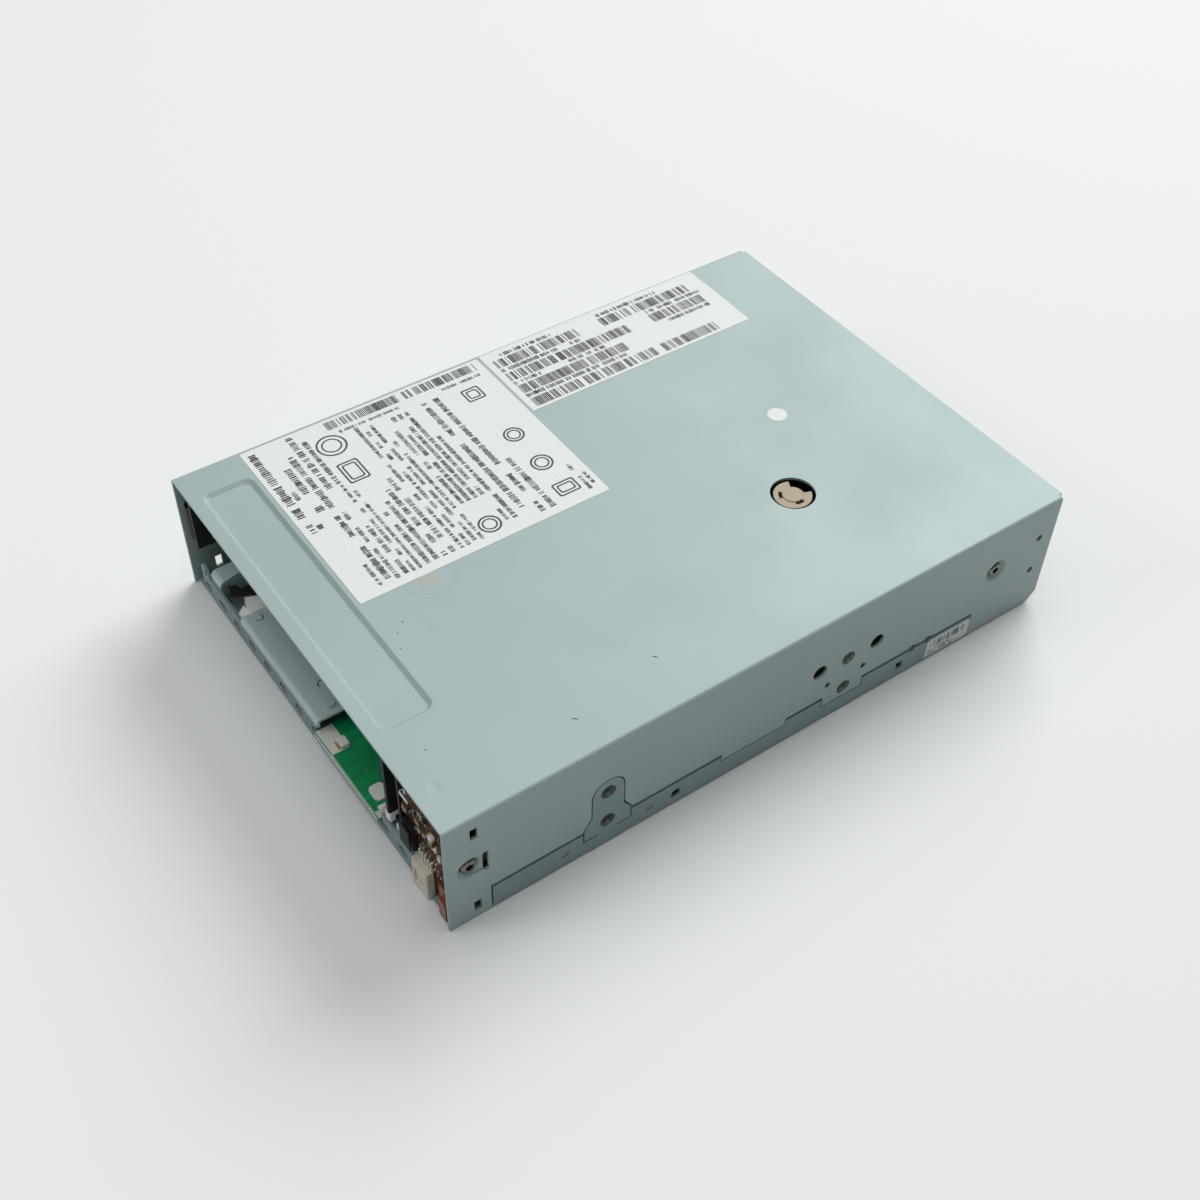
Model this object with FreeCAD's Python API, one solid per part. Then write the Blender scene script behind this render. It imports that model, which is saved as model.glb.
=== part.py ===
import FreeCAD, Part
import math
import os

# Half-height 5.25 in library tape drive with no bezel.
# Model frame: X across (right side positive), Y from the open front to the rear, Z up, millimetres.
# The sizes below are laid out from the front face (y = 0); save() shifts the origin to the
# middle of the footprint.

# ---------------------------------------------------------------- driving dimensions
WIDTH = 146.0                  # half-height 5.25 in bay
HEIGHT = 41.0
LENGTH = 204.4                 # front edge to the rear edge of the top panel
WALL_LENGTH = 203.3            # side walls stop short of the top panel
SHEET = 0.8                    # cover and tray steel
BEND = 1.0                     # outer bend radius of the cover
HALF = WIDTH / 2.0

MOUNT_Y = (47.4, 126.65)       # side and bottom mounting holes, from the front
MOUNT_Z = (10.0, 21.84)        # side mounting holes, above the base
MOUNT_X = 69.85                # bottom mounting holes, from the centre line
M3_TAP_R = 1.25
PAD_R = 6.0                    # stamped pads round the bottom mounting holes
PAD_H = 0.8

SKIRT_TOP = 9.0                # tray skirt where it meets the cover
GAP = 0.4                      # slit between the two sheets
NUT_R = 2.9                    # clinched nut behind each side mounting hole
NUT_DEPTH = 2.4
LEAD_R = 2.4                   # lead-in of the side mounting holes
LEAD_DEPTH = 1.2

BAY_X = -9.0                   # centre line of the cartridge
CART_W = 105.4                 # cartridge width, length and thickness
CART_H = 21.5
CART_RAISED_Z = 16.9           # underside of the cartridge when it is pushed in
DROP = 4.5                     # how far the tray lowers it on to the drive hub
DRAW = 20.0                    # how far the carriage draws it in
HUB_Y = 46.0                   # axis of the drive hub
REEL = (28.9, 141.3)           # axis of the take-up reel
REEL_R = 39.0
TAPE_Z = (16.6, 29.6)          # lower and upper edge of the tape path

BOARD_Z = (4.9, 6.5)           # logic board
DECK_Z = (8.0, 10.4)           # floor of the deck casting

PARTS = "parts"


# ---------------------------------------------------------------- helpers
def box(x0, x1, y0, y1, z0, z1):
    return Part.makeBox(x1 - x0, y1 - y0, z1 - z0, FreeCAD.Vector(x0, y0, z0))


def cyl(x, y, z0, z1, r):
    return Part.makeCylinder(r, z1 - z0, FreeCAD.Vector(x, y, z0))


def cyl_x(x0, x1, y, z, r):
    return Part.makeCylinder(r, x1 - x0, FreeCAD.Vector(x0, y, z), FreeCAD.Vector(1, 0, 0))


def cyl_y(x, y0, y1, z, r):
    return Part.makeCylinder(r, y1 - y0, FreeCAD.Vector(x, y0, z), FreeCAD.Vector(0, 1, 0))


def cone_x(x0, x1, y, z, r0, r1):
    return Part.makeCone(r0, r1, x1 - x0, FreeCAD.Vector(x0, y, z), FreeCAD.Vector(1, 0, 0))


def ring(x, y, z0, z1, r_in, r_out):
    return cyl(x, y, z0, z1, r_out).cut(cyl(x, y, z0 - 1, z1 + 1, r_in))


def prism(points, z0, z1):
    """Straight-sided outline in the XY plane, raised from z0 to z1."""
    corners = [FreeCAD.Vector(x, y, z0) for x, y in points]
    face = Part.Face(Part.makePolygon(corners + corners[:1]))
    return face.extrude(FreeCAD.Vector(0, 0, z1 - z0))


def wall_prism(points, x0, x1):
    """Straight-sided outline in the YZ plane, extruded from x0 to x1."""
    corners = [FreeCAD.Vector(x0, y, z) for y, z in points]
    face = Part.Face(Part.makePolygon(corners + corners[:1]))
    return face.extrude(FreeCAD.Vector(x1 - x0, 0, 0))


def front_prism(points, y0, y1):
    """Straight-sided outline in the XZ plane, extruded from y0 to y1."""
    corners = [FreeCAD.Vector(x, y0, z) for x, z in points]
    face = Part.Face(Part.makePolygon(corners + corners[:1]))
    return face.extrude(FreeCAD.Vector(0, y1 - y0, 0))


def fuse(shapes):
    shapes = list(shapes)
    if len(shapes) == 1:
        return shapes[0]
    return shapes[0].multiFuse(shapes[1:]).removeSplitter()


def cut(shape, tools):
    tools = list(tools)
    return shape.cut(tools[0] if len(tools) == 1 else fuse(tools))


def mirror_x(shape):
    return shape.mirror(FreeCAD.Vector(0, 0, 0), FreeCAD.Vector(1, 0, 0))


def both_sides(shape):
    return [shape, mirror_x(shape)]


def round_edges(shape, radius, keep):
    """Fillet the straight edges for which keep(edge) is true."""
    edges = [edge for edge in shape.Edges if keep(edge)]
    return shape.makeFillet(radius, edges) if edges else shape


def upright(edge):
    direction = edge.tangentAt(edge.FirstParameter)
    return abs(direction.z) > 0.999


def rounded_box(x0, x1, y0, y1, z0, z1, radius):
    return round_edges(box(x0, x1, y0, y1, z0, z1), radius, upright)


def group(shapes):
    return Part.makeCompound(list(shapes))


def save(name, shape):
    placed = shape.copy()
    placed.translate(FreeCAD.Vector(0, -LENGTH / 2.0, 0))
    placed.exportStep(os.path.join(PARTS, name + ".step"))


# ---------------------------------------------------------------- cover and tray
def tab_outline(grow, top_z):
    """Outline (y, z) of the mounting tab at the front hole, up to its round top."""
    y = MOUNT_Y[0]
    return [(y - 7.2 - grow, 5.6), (y - 7.2 - grow, 10.4 + grow), (y - 4.8 - grow, 14.0 + grow),
            (y - 4.8 - grow, top_z), (y + 4.8 + grow, top_z), (y + 4.8 + grow, 14.0 + grow),
            (y + 7.2 + grow, 10.4 + grow), (y + 7.2 + grow, 5.6)]


def tab_blank(grow):
    """Right-hand mounting tab: a flared foot, a straight neck and a round top."""
    plate = wall_prism(tab_outline(grow, MOUNT_Z[1]), HALF - SHEET, HALF)
    top = cyl_x(HALF - SHEET, HALF, MOUNT_Y[0], MOUNT_Z[1], 4.8 + grow)
    return plate.fuse(top)


def formed_hole(y, z):
    """Clinched nut and cutter of one tapped, lead-in side mounting hole on the right."""
    r = NUT_R
    corners = [(y + r * math.cos(math.radians(a)), z + r * math.sin(math.radians(a)))
               for a in range(0, 360, 60)]
    nut = wall_prism(corners, HALF - NUT_DEPTH, HALF - SHEET)
    lead = cone_x(HALF - LEAD_DEPTH, HALF + 0.01, y, z, M3_TAP_R, LEAD_R)
    return nut, lead.fuse(cyl_x(HALF - 3.0, HALF - LEAD_DEPTH, y, z, M3_TAP_R))


def slot_x(y0, y1, z0, z1):
    return box(HALF - 2.0, HALF + 1.0, y0, y1, z0, z1)


def cover_wall_outline():
    """Lower edge of the right cover wall, from the front lower corner to the rear one."""
    joint = SKIRT_TOP + 1.2
    low = joint - 2.4
    return [(0, HEIGHT - 3), (0, 0.4), (12.3, 0.4), (12.3, joint), (84.3, joint), (84.3, low),
            (106.2, low), (106.2, joint), (119.4, joint), (119.4, 6.4), (133.4, 6.4),
            (133.4, joint), (175.6, joint), (175.6, 0.8), (200.3, 0.8), (WALL_LENGTH, 3.8),
            (WALL_LENGTH, HEIGHT - 3)]


def screw_seat(y, z, r, depth):
    """Dished seat of a side screw: (backing inside the wall, cutter through it)."""
    half = r - 0.7
    backing = box(HALF - SHEET - depth, HALF - SHEET, y - half, y + half, z - half, z + half)
    dish = cone_x(HALF - depth, HALF + SHEET, y, z, r - depth - 0.3, r + SHEET - 0.3)
    return backing, dish.fuse(cyl_x(HALF - 4, HALF, y, z, 1.7))


def cover_side():
    """Right wall of the cover with its seats, slots, tapped holes and relief slits."""
    wall = wall_prism(cover_wall_outline(), HALF - SHEET, HALF)
    wall = wall.cut(tab_blank(GAP))
    dish_front, hole_front = screw_seat(6.8, 22.3, 4.0, 1.4)
    dish_rear, hole_rear = screw_seat(181.4, 24.3, 4.2, 1.4)
    boss_a, hole_a = formed_hole(MOUNT_Y[1], MOUNT_Z[0])
    boss_b, hole_b = formed_hole(MOUNT_Y[1], MOUNT_Z[1])
    slots = [slot_x(7.3, 9.4, 33.0, 37.8), slot_x(7.3, 9.4, 2.9, 7.0), slot_x(10.6, 12.0, 18.2, 25.6),
             slot_x(151.4, 153.6, 9.0, 11.0), slot_x(157.4, 159.4, 9.0, 11.0)]
    holes = [cyl_x(HALF - 2, HALF + 1, y, 22.3, 2.4) for y in (116.5, 136.9)]
    step = box(HALF - 0.5, HALF + 1, 6.8, 11.0, 18.9, 25.2)
    wall = fuse([wall, dish_front, dish_rear, boss_a, boss_b])
    return cut(wall, [hole_front, hole_rear, hole_a, hole_b, step] + slots + holes)


def pan(x0, x1, y0, y1, z0, z1, radius, slope):
    """Rounded rectangle at z0 that widens by slope on every side up to z1."""
    outlines = []
    for z, grow in ((z0, 0.0), (z1, slope)):
        block = rounded_box(x0 - grow, x1 + grow, y0 - grow, y1 + grow, z, z + 1, radius + grow)
        outlines.append(min(block.Faces, key=lambda f: f.BoundBox.ZMax).OuterWire)
    return Part.makeLoft(outlines, True, True)


def stamped_recess(x0, x1, y0, y1, depth, radius, slope):
    """Recess with sloped walls stamped into the top panel: (material below, cutter above)."""
    z = HEIGHT - depth
    t = SHEET / 2
    x0, x1, y0, y1 = x0 + slope, x1 - slope, y0 + slope, y1 - slope
    below = pan(x0 - t, x1 + t, y0 - t, y1 + t, z - SHEET, HEIGHT - SHEET, radius, slope)
    above = pan(x0, x1, y0, y1, z, z + 2 * depth, radius, 2 * slope)
    return below, above


def top_cover():
    panel = box(-HALF, HALF, 0, WALL_LENGTH, HEIGHT - SHEET, HEIGHT)
    sides = [box(x, x + SHEET, 0, WALL_LENGTH, HEIGHT - 4, HEIGHT) for x in (-HALF, HALF - SHEET)]
    channel = fuse([panel] + sides)
    channel = round_edges(channel, BEND, lambda e: abs(e.BoundBox.ZMax - HEIGHT) < 1e-6
                          and e.BoundBox.ZLength < 1e-6 and e.BoundBox.YLength > 200
                          and abs(abs(e.BoundBox.XMin) - HALF) < 1e-6)
    ledge = box(-HALF + 1.7, HALF - 1.7, WALL_LENGTH - 1, LENGTH, HEIGHT - SHEET, HEIGHT)
    below, above = stamped_recess(-61.7, 39.4, 3.6, 19.0, 0.9, 1.6, 1.25)
    cover = fuse([channel, ledge, below] + both_sides(cover_side()))
    window = cyl(REEL[0], REEL[1], HEIGHT - 3, HEIGHT + 1, 6.5)
    dimple = Part.makeSphere(12.0, FreeCAD.Vector(60.0, 5.8, HEIGHT + 11.85))
    return cut(cover, [above, window, dimple])


def tray_side():
    """Right skirt of the tray: joggled upper lip, front mounting tab and relief notches."""
    lip = SKIRT_TOP
    skirt = wall_prism([(12.8, PAD_H), (12.8, lip), (175.2, lip), (175.2, PAD_H)],
                       HALF - SHEET, HALF)
    notches = [slot_x(84.0, 106.5, lip - 1.6, lip + 1), slot_x(119.0, 133.8, 6.0, lip + 1),
               slot_x(151.6, 153.4, 8.2, lip + 1), slot_x(157.6, 159.2, 8.2, lip + 1)]
    skirt = cut(skirt, notches)
    joggle = wall_prism([(13.2, lip - 1.2), (13.2, lip + 2.4), (83.6, lip + 2.4), (83.6, lip - 1.2)],
                        HALF - 2 * SHEET - 0.1, HALF - SHEET - 0.1)
    joggle_rear = wall_prism([(134.4, lip - 1.2), (134.4, lip + 2.4), (174.8, lip + 2.4),
                              (174.8, lip - 1.2)], HALF - 2 * SHEET - 0.1, HALF - SHEET - 0.1)
    foot = box(HALF - 2 * SHEET - 0.1, HALF - SHEET + 0.05, 13.2, 83.6, lip - 1.2, lip - 0.4)
    foot_rear = box(HALF - 2 * SHEET - 0.1, HALF - SHEET + 0.05, 134.4, 174.8, lip - 1.2, lip - 0.4)
    under = [slot_x(MOUNT_Y[0] - 7.6, MOUNT_Y[0] - 3.0, 5.6, 6.1),
             slot_x(MOUNT_Y[0] + 3.0, MOUNT_Y[0] + 7.6, 5.6, 6.1),
             slot_x(MOUNT_Y[0] - 7.6, MOUNT_Y[0] - 7.2, 5.6, SKIRT_TOP + 1),
             slot_x(MOUNT_Y[0] + 7.2, MOUNT_Y[0] + 7.6, 5.6, SKIRT_TOP + 1)]
    boss_a, hole_a = formed_hole(MOUNT_Y[0], MOUNT_Z[0])
    boss_b, hole_b = formed_hole(MOUNT_Y[0], MOUNT_Z[1])
    side = fuse([skirt, joggle, joggle_rear, foot, foot_rear, tab_blank(0.0), boss_a, boss_b])
    holes = [cyl_x(HALF - 2, HALF + 1, y, z, r)
             for y, z, r in ((34.4, 5.4, 1.1), (60.7, 5.2, 1.1), (69.4, 4.7, 1.6))]
    oblong = box(HALF - 2, HALF + 1, 147.2, 149.6, 3.6, 6.4)
    return cut(side, [hole_a, hole_b, oblong] + under + holes)


def bottom_pads():
    """Four stamped pads round the bottom mounting holes: (material, cutters)."""
    pads = []
    cutters = []
    for sx in (-1, 1):
        for y in MOUNT_Y:
            pad = cyl(sx * MOUNT_X, y, 0, PAD_H + SHEET, PAD_R)
            pads.append(pad.common(box(-HALF, HALF, 0, LENGTH, 0, 3)))
            cutters.append(cyl(sx * MOUNT_X, y, -1, 3, M3_TAP_R))
    return pads, cutters


def tray_front_lip():
    """Rolled front lip of the tray with its row of slanted vent slots."""
    x0 = -67.2
    lip = box(x0, 54.6, 1.2, 1.2 + SHEET, PAD_H, 9.2)
    ear = front_prism([(x0, 9.0), (x0, 11.4), (x0 + 0.7, 12.2), (x0 + 2.4, 12.2), (x0 + 4.8, 9.9),
                       (x0 + 4.8, 9.0)], 1.2, 1.2 + SHEET)
    slots = []
    for i in range(13):
        slots.append(front_prism(oval(-64.3 + 9.4 * i, 4.4, 2.2, 1.3), 0, 3))
    board_gap = box(2.4, 38.2, 0, 3, 4.4, 10)
    ear_hole = cyl_y(-64.6, 0, 3, 9.7, 1.1)
    return cut(fuse([lip, ear]), slots + [board_gap, ear_hole])


def oval(x, z, half_width, half_height):
    """Ten-sided outline (x, z) of a long punched slot with rounded ends."""
    w, h = half_width, half_height
    right = [(w - 0.9 * h, -h), (w - 0.2 * h, -0.62 * h), (w, 0), (w - 0.2 * h, 0.62 * h), (w - 0.9 * h, h)]
    left = [(-dx, -dz) for dx, dz in right]
    return [(x + dx, z + dz) for dx, dz in right + left]


def bottom_tray():
    floor = fuse([box(-71.8, 71.8, 1.2, 13.0, PAD_H, PAD_H + SHEET),
                  box(-HALF + 0.2, HALF - 0.2, 12.8, 175.2, PAD_H, PAD_H + SHEET)])
    socket_notch = box(54.6, 62.8, 0, 4.0, 0, 3)
    vents = [box(x, x + 14.0, y, y + 2.4, 0, 3) for x in (-52, -30, -8, 14, 36)
             for y in (62, 70, 150, 158)]
    rear = box(-HALF + 3, HALF - 3, 175.0, 202.4, PAD_H, PAD_H + SHEET)
    pads, cutters = bottom_pads()
    tray = fuse([floor, rear, tray_front_lip()] + pads + both_sides(tray_side()))
    return cut(tray, cutters + vents + [socket_notch])


# ---------------------------------------------------------------- fixed structure
DECK_X = 70.4                  # outer face of the deck's side walls
DECK_Y = (14.0, 199.0)
PIVOT = (-24.0, 128.0)         # axis of the threader arm
THREAD_R = 39.0                # radius of the grabber's path
ROLLER_R = 4.6
ROLLER_RING = 28.0             # rollers sit on this radius round the threader axis
ROLLER_ANGLES = (212.0, 183.0, 133.0, 104.0)
HEAD_ANGLE = 158.0
HEAD_TRAVEL = 4.3
MOTOR_WELL_R = 25.5
PIN_R = 3.0
RUN = 0.05                     # radial running clearance of shafts
POST_R = 1.5                   # roller and gear posts
SHAFT_R = 0.75                 # shafts of the two small gearmotors


def polar(centre, radius, angle):
    a = math.radians(angle)
    return centre[0] + radius * math.cos(a), centre[1] + radius * math.sin(a)


ROLLERS = [polar(PIVOT, ROLLER_RING, a) for a in ROLLER_ANGLES]
SCREW_RING = 16.5
ROD_SPREAD = 4.8
ROD_R = 1.0
SCREW_R = 1.4
LEAD_SCREW = polar(PIVOT, SCREW_RING, HEAD_ANGLE)
THREAD_MOTOR = (PIVOT[0], PIVOT[1] - 12.0)
LOAD_MOTOR = (59.5, 48.0)
DRIVE_GEAR = (59.5, 60.0)
LOCK_PIVOT = (-46.5, 16.0)
SIDE_SCREWS = ((6.8, 22.3), (181.4, 24.3))


def head_frame(shape):
    """Turn a shape drawn along +X from the threader axis to where the head stands."""
    placed = shape.copy()
    placed.rotate(FreeCAD.Vector(0, 0, 0), FreeCAD.Vector(0, 0, 1), HEAD_ANGLE)
    placed.translate(FreeCAD.Vector(PIVOT[0], PIVOT[1], 0))
    return placed


def deck_casting():
    """Die-cast deck: ribbed floor, side walls and motor wells."""
    x, (y0, y1), (z0, z1) = DECK_X, DECK_Y, DECK_Z
    floor = rounded_box(-x, x, y0, y1, z0, z1, 4.0)
    walls = [box(sx - 1.5, sx, y0 + 4, y1 - 4, z0, 30.0) for sx in (x, -x + 1.5)]
    windows = [box(-x - 1, x + 1, y, y + 18.0, 14.0, 26.0) for y in (64.0, 92.0, 148.0)]
    arms = [box(s * 70.4 - 1.4, s * 70.4 + 1.4, 3.8, 22.0, 17.5, 27.0)
            .common(box(-DECK_X, DECK_X, 0, 30, 0, 40)) for s in (1, -1)]
    ribs = [box(-66, 66, y, y + 1.6, z1, z1 + 0.8) for y in (98.0, 192.0)]
    plate_pads = [box(x0, x0 + 7, y0 + 0.5, y0 + 4, z1, 11.2) for x0 in (-39.0, -4.0)]
    deck = fuse([floor] + cut(fuse(walls), windows).Solids + arms + ribs + plate_pads)
    wells = [cyl(BAY_X, HUB_Y, z0 - 1, z1 + 5, MOTOR_WELL_R), cyl(*REEL, z0 - 1, z1 + 5, MOTOR_WELL_R),
             cyl(*LEAD_SCREW, z0 - 1, z1 + 5, 3.2)]
    slots = [rounded_box(-60.0, -42.0, 164.0, 182.0, z0 - 1, z1 + 1, 4.0),
             box(-47.5, -0.5, 189.5, 200, z0 - 1, z1 + 2), box(18.5, 38.5, 189.5, 200, z0 - 1, z1 + 2)]
    screws = [cyl_x(s * 71 - 3, s * 71 + 3, y, z, 1.25) for s in (1, -1) for y, z in SIDE_SCREWS]
    return cut(deck, wells + slots + screws)


def logic_board():
    """Main circuit board with the tongue that reaches the front opening."""
    z0, z1 = BOARD_Z
    body = rounded_box(-68.0, 68.0, 16.0, 198.0, z0, z1, 3.0)
    tongue = rounded_box(2.9, 37.6, 0.3, 30.0, z0, z1, 1.2)
    motor = cyl(*LEAD_SCREW, z0 - 1, z1 + 1, 6.6)
    return fuse([body, tongue]).cut(motor)


def board_chips():
    """Packages soldered under and on the logic board."""
    z0, z1 = BOARD_Z
    below = [(-30, 60, 22, 1.9), (10, 120, 26, 1.9), (40, 70, 14, 1.4), (-45, 150, 12, 1.4),
             (45, 160, 16, 1.7)]
    chips = [box(x - s / 2, x + s / 2, y - s / 2, y + s / 2, z0 - h, z0) for x, y, s, h in below]
    caps = [box(-62.5 + 8 * i, -57.5 + 8 * i, 179.5, 184.5, z0 - 2.6, z0) for i in range(4)]
    return group(chips + caps)


def board_spacers():
    """Hexagon spacers between the logic board and the deck."""
    spacers = []
    for x in (-62, 62):
        for y in (24, 110, 190):
            spacers.append(prism([polar((x, y), 3.4, a) for a in range(0, 360, 60)], BOARD_Z[1], DECK_Z[0]))
    return group(spacers)


def socket_shell(x0, x1, y0, y1, z0, z1, wall, depth):
    """Shrouded connector shell, open to the rear."""
    shell = box(x0, x1, y0, y1, z0, z1)
    return shell.cut(box(x0 + wall, x1 - wall, y1 - depth, y1 + 1, z0 + wall, z1 - wall))


def sas_connector():
    z = BOARD_Z[1]
    shell = socket_shell(-46.0, -2.0, 192.0, 203.2, z, z + 8.2, 1.2, 6.0)
    tongue = box(-42.5, -5.5, 196.0, 202.2, z + 3.4, z + 4.8)
    key = box(-24.0, -22.5, 196.0, 202.2, z + 1.0, z + 3.5)
    return fuse([shell, tongue, key])


def library_port():
    z = BOARD_Z[1]
    shell = socket_shell(20.0, 37.0, 194.0, 203.2, z, z + 8.0, 1.1, 6.5)
    pins = [box(x, x + 0.7, 195.0, 202.0, z + zz, z + zz + 0.7) for zz in (2.3, 5.0)
            for x in (23.0, 25.54, 28.08, 30.62, 33.16)]
    return fuse([shell] + pins)


def rear_plate():
    plate = box(-HALF + SHEET + 0.2, HALF - SHEET - 0.2, 201.6, 202.4, PAD_H + SHEET, HEIGHT - SHEET)
    ports = [box(-46.4, -1.6, 200, 204, BOARD_Z[1] - 0.3, BOARD_Z[1] + 8.6),
             box(19.6, 37.4, 200, 204, BOARD_Z[1] - 0.3, BOARD_Z[1] + 8.4)]
    vents = [box(x, x + 2.2, 200, 204, 20.0, 34.0) for x in [-60 + 5.0 * i for i in range(25)]]
    return cut(plate, ports + vents)


# ---------------------------------------------------------------- cartridge loader
FRONT_Y = 3.0                  # front of the loader sides
TRAY_Y = (5.0, 77.0)
PIN_Y = (24.0, 62.0)           # tray pins
PIN_Z = 28.0
CAM_STROKE = 12.0
TRAY_WALL = (CART_W / 2 + 0.4, CART_W / 2 + 1.2)       # offsets from the bay centre line
CAM_WALL = (CART_W / 2 + 1.7, CART_W / 2 + 2.7)
CARRIAGE_WALL = (CART_W / 2 + 3.2, CART_W / 2 + 4.2)
SIDE_WALL = (CART_W / 2 + 4.7, CART_W / 2 + 5.7)
LUG_Y = (20.0, 66.0)
LUG_Z = 35.0


def bay_pair(shape):
    """The right-hand shape about the bay's centre line, and its mirror image."""
    left = mirror_x(shape)
    shape.translate(FreeCAD.Vector(BAY_X, 0, 0))
    left.translate(FreeCAD.Vector(BAY_X, 0, 0))
    return shape, left


def slot_line(x0, x1, start, end, r):
    """Round-ended slot cutter along a line in the YZ plane."""
    (ya, za), (yb, zb) = start, end
    length = math.hypot(yb - ya, zb - za)
    ny, nz = -(zb - za) / length * r, (yb - ya) / length * r
    bar = wall_prism([(ya + ny, za + nz), (yb + ny, zb + nz), (yb - ny, zb - nz), (ya - ny, za - nz)],
                     x0, x1)
    return fuse([bar, cyl_x(x0, x1, ya, za, r), cyl_x(x0, x1, yb, zb, r)])


def cartridge_tray():
    """Sheet tray that holds the cartridge: side walls, side ledges, rear stop and top straps."""
    a, b = TRAY_WALL
    y0, y1 = TRAY_Y
    low, top = CART_RAISED_Z - SHEET, CART_RAISED_Z + CART_H + 0.3
    side = wall_prism([(y0, 24.0), (12.0, low), (y1, low), (y1, top + 0.6), (y0, top + 0.6)], a, b)
    ledge = box(a - 10.0, b, 12.0, y1, low, low + SHEET - 0.2)
    pins = [cyl_x(b - 0.2, CARRIAGE_WALL[1] - 0.1, y, PIN_Z, 1.5) for y in PIN_Y]
    half = fuse([side, ledge] + pins)
    parts = bay_pair(half)
    x0, x1 = BAY_X - b, BAY_X + b
    straps = [box(x0, x1, y, y + w, top, top + 0.6) for y, w in ((y0, 14.0), (37.0, 10.0), (y1 - 12, 12.0))]
    stop = box(x0, x1, y1 - SHEET, y1, 33.0, top + 0.6)
    ears = [box(x, x + 12, y1 - SHEET, y1, low, top) for x in (x0, x1 - 12.0)]
    return fuse(list(parts) + straps + [stop] + ears)


def cam_plate(side):
    """Side plate whose slanted slots lower the tray pins as it slides."""
    x0, x1 = CAM_WALL
    plate = wall_prism([(10.0, 19.0), (74.0, 19.0), (74.0, 33.0), (10.0, 33.0)], x0, x1)
    slots = [slot_line(x0 - 1, x1 + 1, (y, PIN_Z), (y - CAM_STROKE, PIN_Z - DROP), 1.6) for y in PIN_Y]
    window = box(x0 - 1, x1 + 1, 30.0, 46.0, 21.5, 30.5)
    return bay_pair(cut(plate, slots + [window]))[side]


def carriage_frame():
    """Draw carriage: two slotted side plates, the rear tie bar and the drive rack."""
    x0, x1 = CARRIAGE_WALL
    plate = wall_prism([(8.0, 20.0), (16.0, 12.8), (78.0, 12.8), (82.5, 18.0), (82.5, 38.5), (8.0, 38.5)],
                       x0, x1)
    slots = [slot_line(x0 - 1, x1 + 1, (y, PIN_Z), (y, PIN_Z - DROP), 1.6) for y in PIN_Y]
    lugs = [cyl_x(x1 - 0.2, SIDE_WALL[1] + 0.6, y, LUG_Z, 1.5) for y in LUG_Y]
    sides = bay_pair(fuse([cut(plate, slots)] + lugs))
    tie = box(BAY_X - x1, BAY_X + x1, 78.5, 82.5, 36.5, 38.5)
    return fuse(list(sides) + [tie, drive_rack()])


RACK_LINE = 53.5               # pitch line of the rack
MODULE = 1.0


def drive_rack():
    """Rack on the right carriage plate; one tooth space is centred on the drive gear's axis."""
    x0 = BAY_X + CARRIAGE_WALL[0]
    root, tip = RACK_LINE - 1.15 * MODULE, RACK_LINE + 0.9 * MODULE
    pitch = math.pi * MODULE
    y_first = DRIVE_GEAR[1] - 7 * pitch
    points = [(x0, y_first - 2.4)]
    for i in range(10):
        y = y_first + i * pitch
        points += [(root, y - 1.05), (tip, y - 0.38), (tip, y + 0.38), (root, y + 1.05)]
    points += [(x0, points[-1][1] + 1.0)]
    points.insert(1, (root, y_first - 2.4))
    points.insert(-1, (root, points[-1][1]))
    return prism(points, 12.8, 16.0)


def spur_gear(centre, teeth, module, z0, z1, bore, phase=0.0, thin=0.86):
    """Spur gear with straight-flanked teeth, tooth 0 centred on the phase angle."""
    pitch_r = teeth * module / 2.0
    root, tip = pitch_r - 1.15 * module, pitch_r + 0.9 * module
    step = 360.0 / teeth
    half_root = step * 0.33 * thin
    half_tip = step * 0.13 * thin
    points = []
    for i in range(teeth):
        a = phase + i * step
        points += [polar(centre, root, a - half_root), polar(centre, tip, a - half_tip),
                   polar(centre, tip, a + half_tip), polar(centre, root, a + half_root)]
    return prism(points, z0, z1).cut(cyl(*centre, z0 - 1, z1 + 1, bore))


def loader_side(side):
    """Moulded fixed side of the loader with the carriage's guide slots."""
    x0, x1 = SIDE_WALL
    wall = wall_prism([(FRONT_Y - 1.6, 18.0), (14.0, 18.0), (20.0, 17.4), (96.0, 17.4), (96.0, 39.4),
                       (FRONT_Y - 1.6, 39.4)], x0, x1)
    slots = [slot_line(x0 - 1, x1 + 1, (y, LUG_Z), (y + DRAW, LUG_Z), 1.6) for y in LUG_Y]
    rear_foot = box(x0, x1 + (4.0 if side == 0 else 1.2), 90.0, 96.0, DECK_Z[1], 17.6)
    front_foot = box(x0, x1 + 1.2, 15.0, 18.5, DECK_Z[1], 18.0)
    parts = [cut(wall, slots), front_foot, rear_foot]
    if side == 0:
        blade = box(x0 - 4.6, x0 - 3.4, 0.3, 4.6, 17.2, 39.4)
        web = box(x0 - 3.4, x0, 3.4, 4.6, 17.2, 39.4)
        leg = box(x0, x1, FRONT_Y - 1.6, 4.6, 11.7, 18.0)
        parts += [blade, web, leg]
    return bay_pair(fuse(parts))[side]


def drive_gear():
    small = spur_gear(DRIVE_GEAR, 12, MODULE, 12.8, 16.2, POST_R + RUN, 195.0)
    large = spur_gear(DRIVE_GEAR, 20, 0.8, 16.8, 19.0, POST_R + RUN, -90.0 + 9.0)
    neck = ring(*DRIVE_GEAR, 16.0, 17.0, POST_R + RUN, 4.4)
    return fuse([small, large, neck])


def shaft_pinion(centre, z0, z1, shaft_z):
    """Pinion with the length of motor shaft that shows beside it, up or down to shaft_z."""
    shaft = cyl(*centre, min(z0, shaft_z), max(z1, shaft_z), SHAFT_R)
    return spur_gear(centre, 10, 0.8, z0, z1, SHAFT_R, 90.0).fuse(shaft)


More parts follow.
